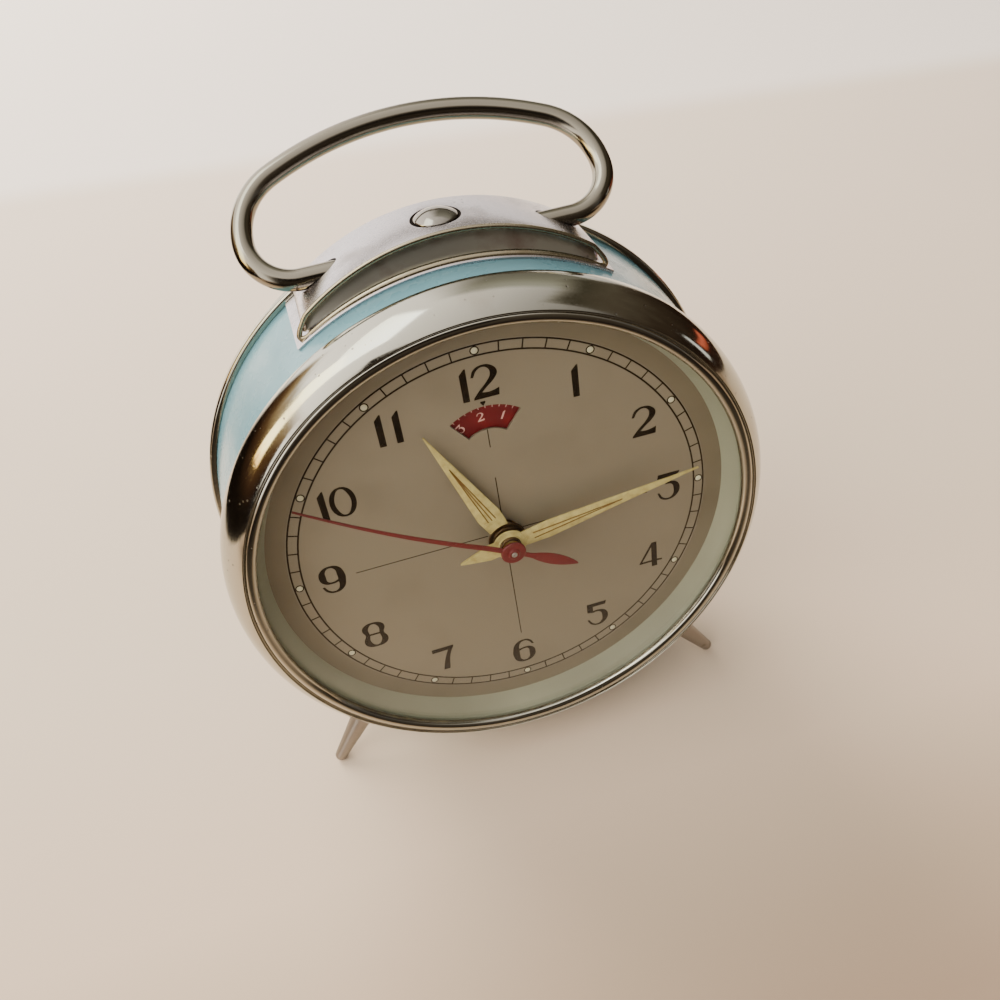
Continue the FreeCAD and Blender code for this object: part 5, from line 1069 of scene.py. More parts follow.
def figure(digit: str, front: float, depth: float) -> Shape:
    """One figure of the dial as a thin raised print.

    Args:
        digit: One of 0 to 9.
        front: Depth of its front face in the clock's frame.
        depth: Thickness of the print.

    Returns:
        The figure about its own centre.
    """
    curve = bpy.data.curves.new("figure", "CURVE")
    curve.dimensions = "2D"
    curve.fill_mode = "BOTH"
    curve.resolution_u = CURVE_STEPS
    curve.extrude = depth / 2.0
    curve.offset = BOLDER
    for place, contour in enumerate(FIGURES[HALF_TURN_OF.get(digit, digit)]):
        marks = [m.lstrip("~").split(",") + [m[0] == "~"] for m in contour.split()]
        marks = [(float(x), float(z), soft) for x, z, soft in marks]
        area = sum(p[0] * q[1] - q[0] * p[1] for p, q in zip(marks, marks[1:] + marks[:1]))
        if (area > 0.0) == (place > 0):
            marks.reverse()
        line = curve.splines.new("BEZIER")
        line.bezier_points.add(len(marks) - 1)
        line.use_cyclic_u = True
        for point, (x, z, soft) in zip(line.bezier_points, marks):
            point.co = (x, z, 0.0)
            point.handle_left_type = point.handle_right_type = "AUTO" if soft else "VECTOR"
    holder = bpy.data.objects.new("figure", curve)
    bpy.context.scene.collection.objects.link(holder)
    flat = taken(holder)
    turn = -1.0 if digit in HALF_TURN_OF else 1.0
    points = [(turn * x, front + depth / 2.0 - z, turn * y) for x, y, z in flat.points]
    bpy.data.objects.remove(holder)
    bpy.data.curves.remove(curve)
    return Shape(points, flat.faces)


def number(text: str, places: dict[str, Span], front: float, depth: float) -> Shape:
    """A number of one or two figures.

    Args:
        text: Its digits.
        places: Each number of two figures, with where their centres are from its own.
        front: Depth of its front face.
        depth: Thickness of the print.

    Returns:
        The number about its own centre.
    """
    shape = Shape()
    for digit, across in zip(text, places.get(text, (0.0,))):
        shape.add(figure(digit, front, depth).placed(Matrix.Translation((across, 0.0, 0.0))))
    return shape


def spot_on_circle(radius: float, clock_deg: float) -> Vector:
    """Place on the dial at a radius, clockwise from twelve."""
    a = math.radians(clock_deg)
    return Vector((radius * math.sin(a), 0.0, radius * math.cos(a)))


# Turn of the dial from one hour to the next
HOUR_DEG = 30.0


@dataclass
class Bezel:
    """Pressed front ring: a quarter-round band, a groove and a bead over the glass."""

    ring_r: float = 45.9
    tube_r: float = 9.0
    sheet: float = 0.8
    groove_deg: float = 53.0
    seat_deg: float = 48.0
    hem_y: float = 1.2
    hem_r: float = 53.55
    groove_w: float = 0.6
    groove_depth: float = 0.45
    lip_r: float = 48.7
    bead_bulge: float = 1.2
    seat_y: float = -5.85
    bead_lip: float = 0.55
    glass_room_r: float = 50.9
    hem_turn: float = 0.35
    wave_counts: tuple[int, ...] = (3, 5, 8, 13)
    wave_sizes: Span = (0.004, 0.012)

    def profile(self) -> list[Point2]:
        """Cross-section of the ring as radius and depth.

        Returns:
            Points around the section.
        """
        outer, inner = self.tube_r, self.tube_r - self.sheet
        edge_r = self.ring_r + outer * math.cos(math.radians(self.groove_deg))
        edge_y = -outer * math.sin(math.radians(self.groove_deg))
        turn = self.hem_turn
        points = [(self.hem_r, self.hem_y)]
        points += arc((self.ring_r + outer - turn, self.hem_y - turn), turn, 90.0, 0.0, 5)
        points += arc((self.ring_r, 0.0), outer, 0.0, -self.groove_deg, 40)
        groove_r = self.groove_w / 2.0
        points += arc_through(
            (edge_r - 0.08, edge_y + 0.12),
            (edge_r - groove_r, edge_y + self.groove_depth),
            (edge_r - self.groove_w, edge_y + self.groove_depth / 2.0),
            8,
        )
        points += arc_through(
            (edge_r - self.groove_w - 0.02, edge_y + self.groove_depth / 2.0 - 0.05),
            (self.lip_r + self.bead_bulge, edge_y - 0.15),
            (self.lip_r, self.seat_y - self.bead_lip),
            18,
        )
        points += [(self.lip_r, self.seat_y), (self.glass_room_r, self.seat_y)]
        points += arc((self.ring_r, 0.0), inner, -self.seat_deg, 0.0, 16)
        points += [(self.ring_r + inner, self.hem_y - self.sheet), (self.hem_r, self.hem_y - self.sheet)]
        return points

    def build(self, bench: Bench) -> None:
        """Make the ring, with the slight waves of a pressed and handled part.

        Args:
            bench: Bench that makes the pieces.
        """
        shape = lathe(self.profile(), 320)
        wave = random.Random(7)
        waves = [(n, wave.uniform(*self.wave_sizes), wave.uniform(0.0, FULL_TURN)) for n in self.wave_counts]
        points = []
        for x, y, z in shape.points:
            a = math.atan2(x, z)
            sunk = sum(size * (1.0 + math.cos(n * a + turn)) for n, size, turn in waves)
            dip = 1.0 - sunk / math.hypot(x, z)
            points.append((x * dip, y, z * dip))
        shape.points = points
        bench.piece("bezel_ring", shape, CHROME, Body.CASE, "chrome", ("front_bezel",), 40.0)


@dataclass
class Crystal:
    """Domed glass under the bezel's bead."""

    radius: float = 50.6
    edge_y: float = -5.47
    dome: float = 4.5
    thickness: float = 0.8
    steps: int = 28

    def build(self, bench: Bench) -> None:
        """Make the dome as a closed shell with fine steps.

        Args:
            bench: Bench that makes the pieces.
        """
        ball = (self.radius**2 + self.dome**2) / (2.0 * self.dome)
        half = math.degrees(math.asin(self.radius / ball))
        top = self.edge_y - self.dome
        angles = [math.radians(a) for a in spaced(0.0, half, self.steps)]
        front = [(ball * math.sin(a), top + ball * (1.0 - math.cos(a))) for a in angles]
        back = [(r, y + self.thickness) for r, y in reversed(front)]
        shell = lathe(front + back, 160, closed=False)
        bench.piece("glass_dome", shell, GLASS, Body.CASE, "glass", ("crystal",), 50.0)


@dataclass
class Dial:
    """Dial plate, its print and the sloping ring around it."""

    edge_r: float = 46.9
    lip_r: float = 48.7
    glass_r: float = 50.6
    ring_top_y: float = -4.63
    ring_t: float = 0.7
    print_t: float = 0.02
    figure_r: float = 35.2
    track_in_r: float = 40.75
    track_out_r: float = 42.8
    track_w: float = 0.34
    tick_w: float = 0.27
    brim_r: float = 43.1
    brim_rise: float = 0.04
    dot_r: float = 0.62
    dot_ring_r: float = 0.86
    line_w: float = 0.18
    lines_down: tuple[Span, ...] = ((21.0, 25.1), (3.4, 13.8), (-29.5, -3.4))
    lines_across: tuple[Span, ...] = ((-30.5, -3.4), (3.4, 30.5))
    pointer_z: float = 30.25
    pointer_w: float = 1.0
    pointer_l: float = 1.0
    two_figures: dict[str, Span] = field(
        default_factory=lambda: {"10": (-2.27, 1.5), "11": (-1.6, 1.6), "12": (-2.85, 0.96)}
    )

    def build(self, bench: Bench, rings: RingOfParts) -> None:
        """Make all the pieces of the dial.

        Args:
            bench: Bench that makes the pieces.
            rings: Tree that repeats the minute marks and dots.
        """
        bench.merged_copy("dial_plate", DIAL_SILVER, Body.CASE, "dial_silver")
        self.build_ring(bench)
        # The brim outside the minute track is painted shade: a darker copy of the dial's lacquer
        brim_out, brim_y = self.edge_r + 0.1, -self.brim_rise
        brim = [(self.brim_r, 0.0), (self.brim_r + 0.05, brim_y), (brim_out, brim_y), (brim_out, 0.0)]
        bench.piece("dial_brim", lathe(brim, 256), SHADED_DIAL_BRIM, Body.CASE, "dial_silver")
        front = -self.print_t
        track = Shape()
        for radius in (self.track_in_r, self.track_out_r):
            track.add(self.printed_ring(radius - self.track_w / 2.0, radius + self.track_w / 2.0, 240))
        half_l = (self.track_out_r - self.track_in_r - self.track_w) / 2.0
        half_w = self.tick_w / 2.0
        bar = strip(-half_w, half_w, -half_l, half_l, front, 0.0)
        middle = (self.track_in_r + self.track_out_r) / 2.0
        track.add(rings.repeat(bar, 60, middle, INK, leave_out_every=5))
        track.add(rings.repeat(self.printed_ring(self.dot_r, self.dot_ring_r, 24), 12, middle, INK))
        bench.piece("minute_track", track, INK, Body.CASE, "dial_silver")
        dome = arc_through((self.dot_r, -0.03), (self.dot_r * 0.72, -0.12), (0.0, -0.17), 5)
        dot = lathe([(0.0, 0.0), (self.dot_r, 0.0)] + dome, 20, closed=False)
        bench.piece("hour_dots", rings.repeat(dot, 12, middle, DOT_LUME), DOT_LUME, Body.CASE, "lume_cream")
        self.build_numbers(bench)
        self.build_hairlines(bench)

    def printed_ring(self, inner: float, outer: float, segments: int) -> Shape:
        """Flat printed ring.

        Args:
            inner: Its inner radius.
            outer: Its outer radius.
            segments: Steps around it.

        Returns:
            The ring about the dial's centre.
        """
        front = -self.print_t
        return lathe([(inner, 0.0), (inner, front), (outer, front), (outer, 0.0)], segments)

    def build_ring(self, bench: Bench) -> None:
        """Sloping painted ring from the dial's edge up to the glass.

        Args:
            bench: Bench that makes the pieces.
        """
        top_r = self.lip_r + 0.1
        back_y = self.ring_top_y + self.ring_t
        profile = [(self.edge_r, -0.05), (self.edge_r + 0.06, -0.22), (top_r, self.ring_top_y),
                   (self.glass_r, self.ring_top_y), (self.glass_r, back_y), (top_r + self.ring_t, back_y),
                   (self.edge_r + self.ring_t, -0.05)]
        bench.piece("wall_ring", lathe(profile, 256), CREAM_ENAMEL, Body.CASE, "cream_paint", ("inner_ring",))

    def build_numbers(self, bench: Bench) -> None:
        """Print the hour figures, upright at each hour.

        Args:
            bench: Bench that makes the pieces.
        """
        shape = Shape()
        for hour in range(1, 13):
            made = number(str(hour), self.two_figures, -self.print_t, self.print_t)
            shape.add(made.placed(Matrix.Translation(spot_on_circle(self.figure_r, HOUR_DEG * hour))))
        bench.piece("hour_figures", shape, INK, Body.CASE, "dial_silver", sharp_deg=30.0)

    def build_hairlines(self, bench: Bench) -> None:
        """Print the cross lines and the pointer over the alarm window.

        Args:
            bench: Bench that makes the pieces.
        """
        half = self.line_w / 2.0
        front = -self.print_t
        shape = Shape()
        for low, high in self.lines_down:
            shape.add(strip(-half, half, low, high, front, 0.0))
        for left, right in self.lines_across:
            shape.add(strip(left, right, -half, half, front, 0.0))
        tip, end, wide = self.pointer_z, self.pointer_z + self.pointer_l, self.pointer_w / 2.0
        pointer = [(0.0, tip), (wide, end - 0.25), (wide - 0.05, end), (0.05 - wide, end),
                   (-wide, end - 0.25)]
        shape.add(plate(pointer, front, 0.0))
        bench.piece("hairlines", shape, INK, Body.CASE, "dial_silver")


@dataclass
class AlarmDial:
    """Print on the red disc behind the window."""

    centre_z: float = 19.17
    disc_y: float = 0.9
    print_t: float = 0.02
    tick_in_r: float = 10.0
    tick_out_r: float = 11.6
    tick_w: float = 0.14
    figure_r: float = 8.35
    figure_scale: float = 0.27
    two_at_deg: float = -5.2
    two_figures: dict[str, Span] = field(
        default_factory=lambda: {"10": (-2.3, 1.5), "11": (-1.3, 1.3), "12": (-2.7, 1.0)}
    )

    def build(self, bench: Bench, rings: RingOfParts) -> None:
        """Print quarter-hour marks and hour figures on the disc.

        Args:
            bench: Bench that makes the pieces.
            rings: Tree that repeats the marks.
        """
        bench.merged_copy("alarm_disc", ALARM_RED, Body.ALARM_SETTING, "alarm_red")
        front = self.disc_y - self.print_t
        half_w = self.tick_w / 2.0
        half_l = (self.tick_out_r - self.tick_in_r) / 2.0
        mark = strip(-half_w, half_w, -half_l, half_l, front, self.disc_y)
        shape = rings.repeat(mark, 48, (self.tick_in_r + self.tick_out_r) / 2.0, PINK_PRINT, self.two_at_deg)
        small = Matrix.Diagonal((self.figure_scale, 1.0, self.figure_scale, 1.0))
        for hour in range(1, 13):
            angle = self.two_at_deg - HOUR_DEG * (hour - 2)
            turn = Matrix.Rotation(math.radians(angle), 4, "Y")
            place = Matrix.Translation(spot_on_circle(self.figure_r, angle))
            made = number(str(hour), self.two_figures, front, self.print_t)
            shape.add(made.placed(place @ turn @ small))
        shape = shape.placed(Matrix.Translation((0.0, 0.0, self.centre_z)))
        bench.piece("alarm_marks", shape, PINK_PRINT, Body.ALARM_SETTING, "alarm_red", sharp_deg=30.0)


@dataclass
class Hands:
    """Hour, minute and seconds hands."""

    hour_deg: float = 336.75
    minute_deg: float = 81.0
    second_deg: float = 300.0
    hour_y: float = -2.1
    minute_y: float = -4.0
    second_y: float = -6.6
    sheet: float = 0.35
    hour_l: float = 30.8
    minute_l: float = 40.4
    second_l: float = 43.8
    second_tail: float = 14.6
    second_drop: float = 1.9
    second_bow: float = 0.75
    second_straight: float = 5.0
    second_root_w: float = 0.6
    second_tip_w: float = 0.18
    leaf_from: float = 4.0
    leaf_half_w: float = 1.25
    blade_steps: int = 14
    tip_half_w: float = 0.1
    ridge_w: float = 0.22
    ridge_rise: float = 0.06

    def blade(self, length: float, wide_at: float, half_w: float, root_w: float, back: float) -> Shape:
        """Lance with a low ridge along its middle.

        Args:
            length: Distance of its tip from the arbor.
            wide_at: Where it is widest.
            half_w: Half its greatest width.
            root_w: Half its width at the arbor.
            back: Depth of its back face.

        Returns:
            The blade pointing to twelve.
        """
        front = back - self.sheet
        rows = [(wide_at * share, root_w + (half_w - root_w) * share) for share in (0.0, 0.55, 1.0)]
        for i in range(1, self.blade_steps + 1):
            share = i / self.blade_steps
            rows.append((wide_at + (length - wide_at) * share, half_w + (self.tip_half_w - half_w) * share))
        across = (-1.0, -0.82, -0.3, 0.0, 0.3, 0.82, 1.0)
        fall = (0.2, 0.05, 0.02, 0.0, 0.02, 0.05, 0.2)
        return loft([[(width * a, front + f * min(width, 1.0), z) for a, f in zip(across, fall)]
                     + [(width, back, z), (-width, back, z)] for z, width in rows])

    def ridges(
        self, sides: tuple[float, ...], start: float, end: float, spread: float, front: float
    ) -> Shape:
        """Fine raised lines that run together towards the tip.

        Args:
            sides: Share of the spread at which each line starts.
            start: Where they begin, from the arbor.
            end: Where they meet.
            spread: Half their distance at the start.
            front: Depth of the blade's front face.

        Returns:
            The lines on a blade pointing to twelve.
        """
        shape = Shape()
        half = self.ridge_w / 2.0
        for side in sides:
            line = [(side * spread - half, start), (side * spread + half, start), (half, end), (-half, end)]
            shape.add(plate(line, front - self.ridge_rise, front + 0.1))
        return shape

    def turned(self, shape: Shape, clock_deg: float) -> Shape:
        """Turn a hand from twelve to its reading."""
        return shape.placed(Matrix.Rotation(math.radians(clock_deg), 4, "Y"))

    def build(self, bench: Bench) -> None:
        """Make the three hands.

        Args:
            bench: Bench that makes the pieces.
        """
        self.build_hour(bench)
        self.build_minute(bench)
        self.build_second(bench)

    def boss(self, radius: float, bore: float, back: float, rise: float) -> Shape:
        """Round boss with a rolled edge and a bore.

        Args:
            radius: Its radius.
            bore: Radius of its hole.
            back: Depth of its back face.
            rise: How far its collar stands over its front face.

        Returns:
            The boss about the arbor.
        """
        front = back - self.sheet
        profile = [(bore, back), (radius, back), (radius, front + 0.12), (radius - 0.12, front)]
        profile += [(bore + 0.75, front), (bore + 0.62, front - rise * 0.7), (bore + 0.4, front - rise),
                    (bore, front - rise)]
        return lathe(profile, 64)

    def build_hour(self, bench: Bench) -> None:
        """Broad cream lance on a bronze boss.

        Args:
            bench: Bench that makes the pieces.
        """
        front = self.hour_y - self.sheet
        blade = self.blade(self.hour_l, wide_at=7.4, half_w=2.45, root_w=1.8, back=self.hour_y)
        lume = self.turned(blade, self.hour_deg)
        bench.piece("hour_hand_blade", lume, LUME, Body.HOUR, "lume_cream", ("hour_hand",), 25.0)
        lines = self.ridges((-1.0, 0.0, 1.0), start=6.2, end=22.0, spread=0.85, front=front + 0.02)
        trim = self.turned(lines, self.hour_deg)
        bench.piece("hour_hand_trim", trim, BRONZE, Body.HOUR, "brass", (), 30.0)
        # The boss takes the darker brass: browning, and painted shade round the hub
        boss = self.boss(radius=3.9, bore=2.25, back=self.hour_y - 0.02, rise=0.35)
        bench.piece("hour_hand_boss", boss, HUB_BRONZE_AND_SHADE, Body.HOUR, "brass", (), 30.0)

    def build_minute(self, bench: Bench) -> None:
        """Long cream lance with a short tail.

        Args:
            bench: Bench that makes the pieces.
        """
        front = self.minute_y - self.sheet
        hand = self.blade(self.minute_l, wide_at=8.2, half_w=2.2, root_w=1.6, back=self.minute_y)
        tail = [(-1.7, 0.0), (1.7, 0.0), (1.9, -4.5), (0.15, -10.5), (-0.15, -10.5), (-1.9, -4.5)]
        hand.add(plate(tail, front + 0.02, self.minute_y))
        hand = self.turned(hand, self.minute_deg)
        hand.add(self.boss(radius=3.4, bore=1.7, back=self.minute_y - 0.02, rise=0.25))
        bench.piece("minute_hand_blade", hand, LUME, Body.CANNON, "lume_cream", ("minute_hand",), 25.0)
        lines = self.ridges((-1.0, 1.0), start=5.0, end=24.0, spread=0.7, front=front + 0.02)
        trim = self.turned(lines, self.minute_deg)
        bench.piece("minute_hand_trim", trim, BRONZE, Body.CANNON, "brass", (), 30.0)
        # The pipe takes the darker brass: browning, and painted shade round the hub
        pipe = lathe([(1.7, front - 0.1), (2.2, front - 0.1), (2.2, front - 0.5), (1.95, front - 0.75),
                      (1.7, front - 0.75)], 48)
        bench.piece("minute_hand_pipe", pipe, HUB_BRONZE_AND_SHADE, Body.CANNON, "brass", (), 30.0)

    def needle_rows(self) -> list[Point3]:
        """Place along the seconds hand's needle, half width there and dip, from the arbor to the tip.

        Returns:
            A row for each section.
        """
        straight, steps = self.second_straight, 30
        rows = []
        for i in range(steps + 1):
            along = self.second_l * i / steps
            share = max(0.0, (along - straight) / (self.second_l - straight))
            dip = self.second_drop * share**2.2 - self.second_bow * math.sin(math.pi * share)
            width = self.second_root_w + (self.second_tip_w - self.second_root_w) * i / steps
            rows.append((along, width, dip))
        return rows

    def tail_rows(self) -> list[Point3]:
        """The same for its leaf-shaped tail, from the end to the arbor.

        Returns:
            A row for each section.
        """
        steps = 20
        rows = []
        for i in range(steps, 0, -1):
            along = self.second_tail * i / steps
            share = max(0.0, (along - self.leaf_from) / (self.second_tail - self.leaf_from))
            swell = math.sin(math.pi * (0.09 + 0.89 * share)) ** 0.8
            width = 0.5 if along <= self.leaf_from else max(0.12, self.leaf_half_w * swell)
            rows.append((-along, width, 0.0))
        return rows

    def build_second(self, bench: Bench) -> None:
        """Thin red needle that dips towards the dial, with a leaf tail and a small tube.

        Args:
            bench: Bench that makes the pieces.
        """
        front, back = self.second_y - self.sheet, self.second_y
        sections = []
        for z, width, dip in self.tail_rows() + self.needle_rows():
            sections.append([(-width, front + dip + 0.1, z), (-width * 0.6, front + dip, z),
                             (width * 0.6, front + dip, z), (width, front + dip + 0.1, z),
                             (width, back + dip, z), (-width, back + dip, z)])
        shape = self.turned(loft(sections), self.second_deg)
        shape.add(lathe([(0.0, back + 0.6), (1.1, back + 0.6), (1.1, back - 0.02), (2.5, back - 0.02),
                         (2.5, front + 0.02), (2.3, front - 0.12), (1.25, front - 0.12), (1.1, front - 0.5),
                         (1.0, front - 0.6), (0.62, front - 0.6), (0.58, front - 0.1), (0.0, front - 0.1)],
                        64, closed=False))
        bench.piece("seconds_needle", shape, RED, Body.SECONDS, "hand_red", ("second_hand",), 30.0)
        tip = lathe([(0.0, front - 0.52), (0.2, front - 0.52), (0.24, front - 0.68), (0.5, front - 0.68),
                     (0.56, front - 0.62), (0.56, front + 0.05), (0.0, front + 0.05)], 32, closed=False)
        bench.piece("seconds_tip", tip, STEEL, Body.SECONDS, "steel", (), 30.0)


@dataclass
class Case:
    """Drum, rear rim and cover with their small parts."""

    rim_r: float = 56.0
    rim_front: float = 26.4
    rim_back: float = 28.8
    rim_edge: float = 0.6
    drum_rear_r: float = 54.6
    drum_rear_y: float = 27.8
    rim_lap: float = 2.2

    def build(self, bench: Bench) -> None:
        """Make the drum, the rim, the cover and the feet.

        Args:
            bench: Bench that makes the pieces.
        """
        bench.merged_copy("case_drum", BLUE_ENAMEL, Body.CASE, "blue_paint")
        bench.merged_copy("rear_cover", BLUE_ENAMEL, Body.CASE, "blue_paint")
        flat = self.rim_r - self.rim_edge
        seat_r, seat_y = self.drum_rear_r + 0.05, self.drum_rear_y + 0.05
        profile = [(seat_r, self.rim_front), (flat, self.rim_front)]
        profile += arc((flat, self.rim_front + self.rim_edge), self.rim_edge, -90.0, 0.0, 6)[1:]
        profile += arc((flat, self.rim_back - self.rim_edge), self.rim_edge, 0.0, 90.0, 6)
        inner = self.drum_rear_r - self.rim_lap
        profile += [(inner + 0.25, self.rim_back), (inner, self.rim_back - 0.25), (inner, seat_y),
                    (seat_r, seat_y)]
        bench.piece("rim_ring", lathe(profile, 256), CHROME, Body.CASE, "chrome", ("rear_rim",), 40.0)
        for k in (1, 2, 3):
            bench.merged_copy(f"cover_screw_{k}", STEEL, Body.CASE, "steel")
        for side in ("left", "right"):
            bench.merged_copy(f"foot_{side}", FOOT_STEEL, Body.CASE, "grey_steel", 50.0)


@dataclass
class Top:
    """Bridge on the case with the handle and the stop button."""

    wire_r: float = 2.0
    half_w: float = 33.8
    top_r: float = 60.0
    height: float = 26.6
    corner_r: float = 8.5
    end_x: float = 18.0
    lean_deg: float = 47.0
    pivot_y: float = 19.0
    pivot_z: float = 53.4
    button_y: float = 17.5
    button_r: float = 4.05
    button_hole_r: float = 4.65
    skirt_r: float = 4.85
    skirt_hole_r: float = 5.15
    button_rise: float = 1.3
    stem_r: float = 1.2
    stem_low: float = 48.4
    wire_hole_r: float = 2.25
    bridge_top_z: float = 59.8
    bridge_half_w: float = 27.6
    arch_r: float = 44.0
    bridge_front: float = 10.0
    bridge_back: float = 26.0
    panel_back: float = 0.7
    panel_lean: float = 0.42
    roll_r: float = 0.5
    bead_r: float = 0.95
    edge_r: float = 0.8
    drum_front_r: float = 53.4
    drum_taper: float = 0.03974
    drum_front_y: float = -2.4
    flange_t: float = 0.6
    flange_w: float = 1.8
    bead_y: float = 9.5
    bead_sunk: float = 0.35
    panel_half_t: float = 0.06
    skirt_hole_depth: float = 6.2
    bridge_sheet: float = 0.9

    def build(self, bench: Bench, bars: BarAlongPath) -> None:
        """Make the bridge, the handle and the button.

        Args:
            bench: Bench that makes the pieces.
            bars: Tree that runs a bar along a path.
        """
        self.build_bridge(bench)
        self.build_rim(bench, bars)
        bench.merged_copy("saddle_rivets", STEEL, Body.CASE, "steel", 30.0)
        shape = bars.run(self.handle_path(), self.wire_r, 40, WIRE)
        bench.piece("handle_wire", shape, WIRE, Body.HANDLE, "bright_wire", ("handle",), 50.0)
        self.build_button(bench)

    @property
    def upright(self) -> Matrix:
        """Matrix that stands a turned shape up on the button's axis, its depth as height."""
        return Matrix.Translation((0.0, self.button_y, 0.0)) @ Matrix.Rotation(math.radians(90.0), 4, "X")

    def drum_r(self, y: float) -> float:
        """Radius of the drum at a depth."""
        return self.drum_front_r + (y - self.drum_front_y) * self.drum_taper

    def drum_z(self, x: float, y: float) -> float:
        """Height of the drum's surface over a point."""
        return math.sqrt(self.drum_r(y) ** 2 - x**2)

    def arch_z(self, x: float) -> float:
        """Height of the bridge's top over a point."""
        return self.bridge_top_z - self.arch_r + math.sqrt(self.arch_r**2 - x**2)

    def section(self, x: float, inset: float) -> list[Point3]:
        """Outline of the bridge across its length at x.

        Args:
            x: Where the section is taken.
            inset: How far the outline draws in, to round the bridge's ends.

        Returns:
            Points around the section.
        """
        top = self.arch_z(x) - inset
        foot = self.bridge_front + self.panel_back + inset
        roll = self.roll_r * 0.92
        centre = (self.bridge_front + self.roll_r + inset, top - self.roll_r)
        back = self.bridge_back - inset
        low, high = self.drum_z(x, foot) - 0.1, top - self.roll_r - 0.35
        lean = min(max(high - low, 0.0) * self.panel_lean, 2.2)
        outline = [(foot, low), (foot + lean, high)]
        outline += arc(centre, roll, 250.0, 90.0, 12)
        outline += arc((back - self.edge_r, top - self.edge_r), self.edge_r, 90.0, 0.0, 6)
        outline += [(back, self.drum_z(x, back) - 0.1)]
        return [(x, y, z) for y, z in outline]

    def build_bridge(self, bench: Bench) -> None:
        """Arched bridge with a set-back front panel, holes and thin foot flanges.

        Args:
            bench: Bench that makes the pieces.
        """
        stations = [(x, 0.0) for x in spaced(-self.bridge_half_w, self.bridge_half_w, 128)[1:-1]]
        for k in range(6):
            a = math.radians(90.0 * k / 5)
            inset = self.edge_r * (1.0 - math.sin(a))
            x = self.bridge_half_w - self.edge_r * (1.0 - math.cos(a))
            stations += [(x, inset), (-x, inset)]
        stations = sorted(set((round(x, 4), round(i, 4)) for x, i in stations
                              if i > 0.0 or abs(x) < self.bridge_half_w - self.edge_r))
        block = loft([self.section(x, inset) for x, inset in stations])
        low, over = self.bridge_top_z - self.skirt_hole_depth, self.bridge_top_z + 2.0
        sheet = self.bridge_top_z - self.bridge_sheet
        hole = [(0.0, low), (self.skirt_hole_r, low), (self.skirt_hole_r, sheet), (self.button_hole_r, sheet),
                (self.button_hole_r, over), (0.0, over)]
        tools = [lathe(hole, 96, closed=False).placed(self.upright)]
        wire_hole = [(0.0, self.end_x), (self.wire_hole_r, self.end_x), (self.wire_hole_r, 40.0), (0.0, 40.0)]
        pivot = Matrix.Translation((0.0, self.pivot_y, self.pivot_z))
        for side_turn in (90.0, -90.0):
            across = pivot @ Matrix.Rotation(math.radians(side_turn), 4, "Z")
            tools.append(lathe(wire_hole, 48, closed=False).placed(across))
        shape = cut(block, tools)
        shape.add(self.flange())
        bench.piece("bridge", shape, RUBBED_CHROME, Body.CASE, "chrome", ("saddle",), 35.0)
        self.build_panel(bench)

    def build_panel(self, bench: Bench) -> None:
        """Thin plated sheet on the bridge's leaning front.

        Args:
            bench: Bench that makes the pieces.
        """
        end, half = self.bridge_half_w - self.edge_r, self.panel_half_t
        rows = []
        for x in spaced(-end, end, 96):
            (_, low_y, low_z), (_, high_y, high_z) = self.section(x, 0.0)[:2]
            rows.append([(x, low_y - half, low_z), (x, high_y - half, high_z), (x, high_y + half, high_z),
                         (x, low_y + half, low_z)])
        bench.piece("bridge_panel", loft(rows), PANEL_PLATE, Body.CASE, "chrome", (), 35.0)

    def flange(self) -> Shape:
        """Thin sheet that lies on the drum around the bridge's foot.

        Returns:
            The sheet.
        """
        half = math.asin((self.bridge_half_w + self.flange_w) / (self.drum_front_r + 1.2))
        low, high = self.bridge_front - self.flange_w, self.bridge_back
        edge = 0.2
        outline = [(low, 0.02), (low, self.flange_t - edge), (low + edge, self.flange_t),
                   (high - edge, self.flange_t), (high, self.flange_t - edge), (high, 0.02)]
        around = [(y, self.drum_r(y) + rise) for y, rise in outline]
        angles = spaced(-half, half, 72)
        return loft([[(r * math.sin(a), y, r * math.cos(a)) for y, r in around] for a in angles])

    def build_rim(self, bench: Bench, bars: BarAlongPath) -> None:
        """Rolled rim around the crescent front: over the arch, round the tips and along the drum.

        Args:
            bench: Bench that makes the pieces.
            bars: Tree that runs a bar along a path.
        """
        end, low_end = self.bridge_half_w - 1.2, self.bridge_half_w - 0.6
        roll_y = self.bridge_front + self.roll_r
        thin = self.roll_r / self.bead_r
        path = [(x, roll_y, self.arch_z(x) - self.roll_r) for x in spaced(-end, end, 96)]
        corner = (self.bridge_half_w + 2.4, roll_y - 0.4, self.drum_z(self.bridge_half_w + 1.6, roll_y) + 0.4)
        finish = (low_end, self.bead_y, self.drum_z(low_end, self.bead_y) + self.bead_sunk)
        tip = []
        for t in spaced(0.0, 1.0, 24)[1:-1]:
            tip.append(tuple((1 - t) ** 2 * p + 2 * t * (1 - t) * q + t * t * r
                             for p, q, r in zip(path[-1], corner, finish)))
        path += tip
        shares = [thin] * len(path)
        for x in spaced(low_end, -low_end, 96):
            path.append((x, self.bead_y, self.drum_z(x, self.bead_y) + self.bead_sunk))
            swell = 1.0 - (x / low_end) ** 4
            shares.append(thin * (1.0 - swell) + swell)
        path += [(-x, y, z) for x, y, z in reversed(tip)]
        shares += [thin] * len(tip)
        shape = bars.run(path, self.bead_r, 20, WORN_EDGE, True, shares)
        bench.piece("bridge_rim", shape, WORN_EDGE, Body.CASE, "chrome", (), 60.0)

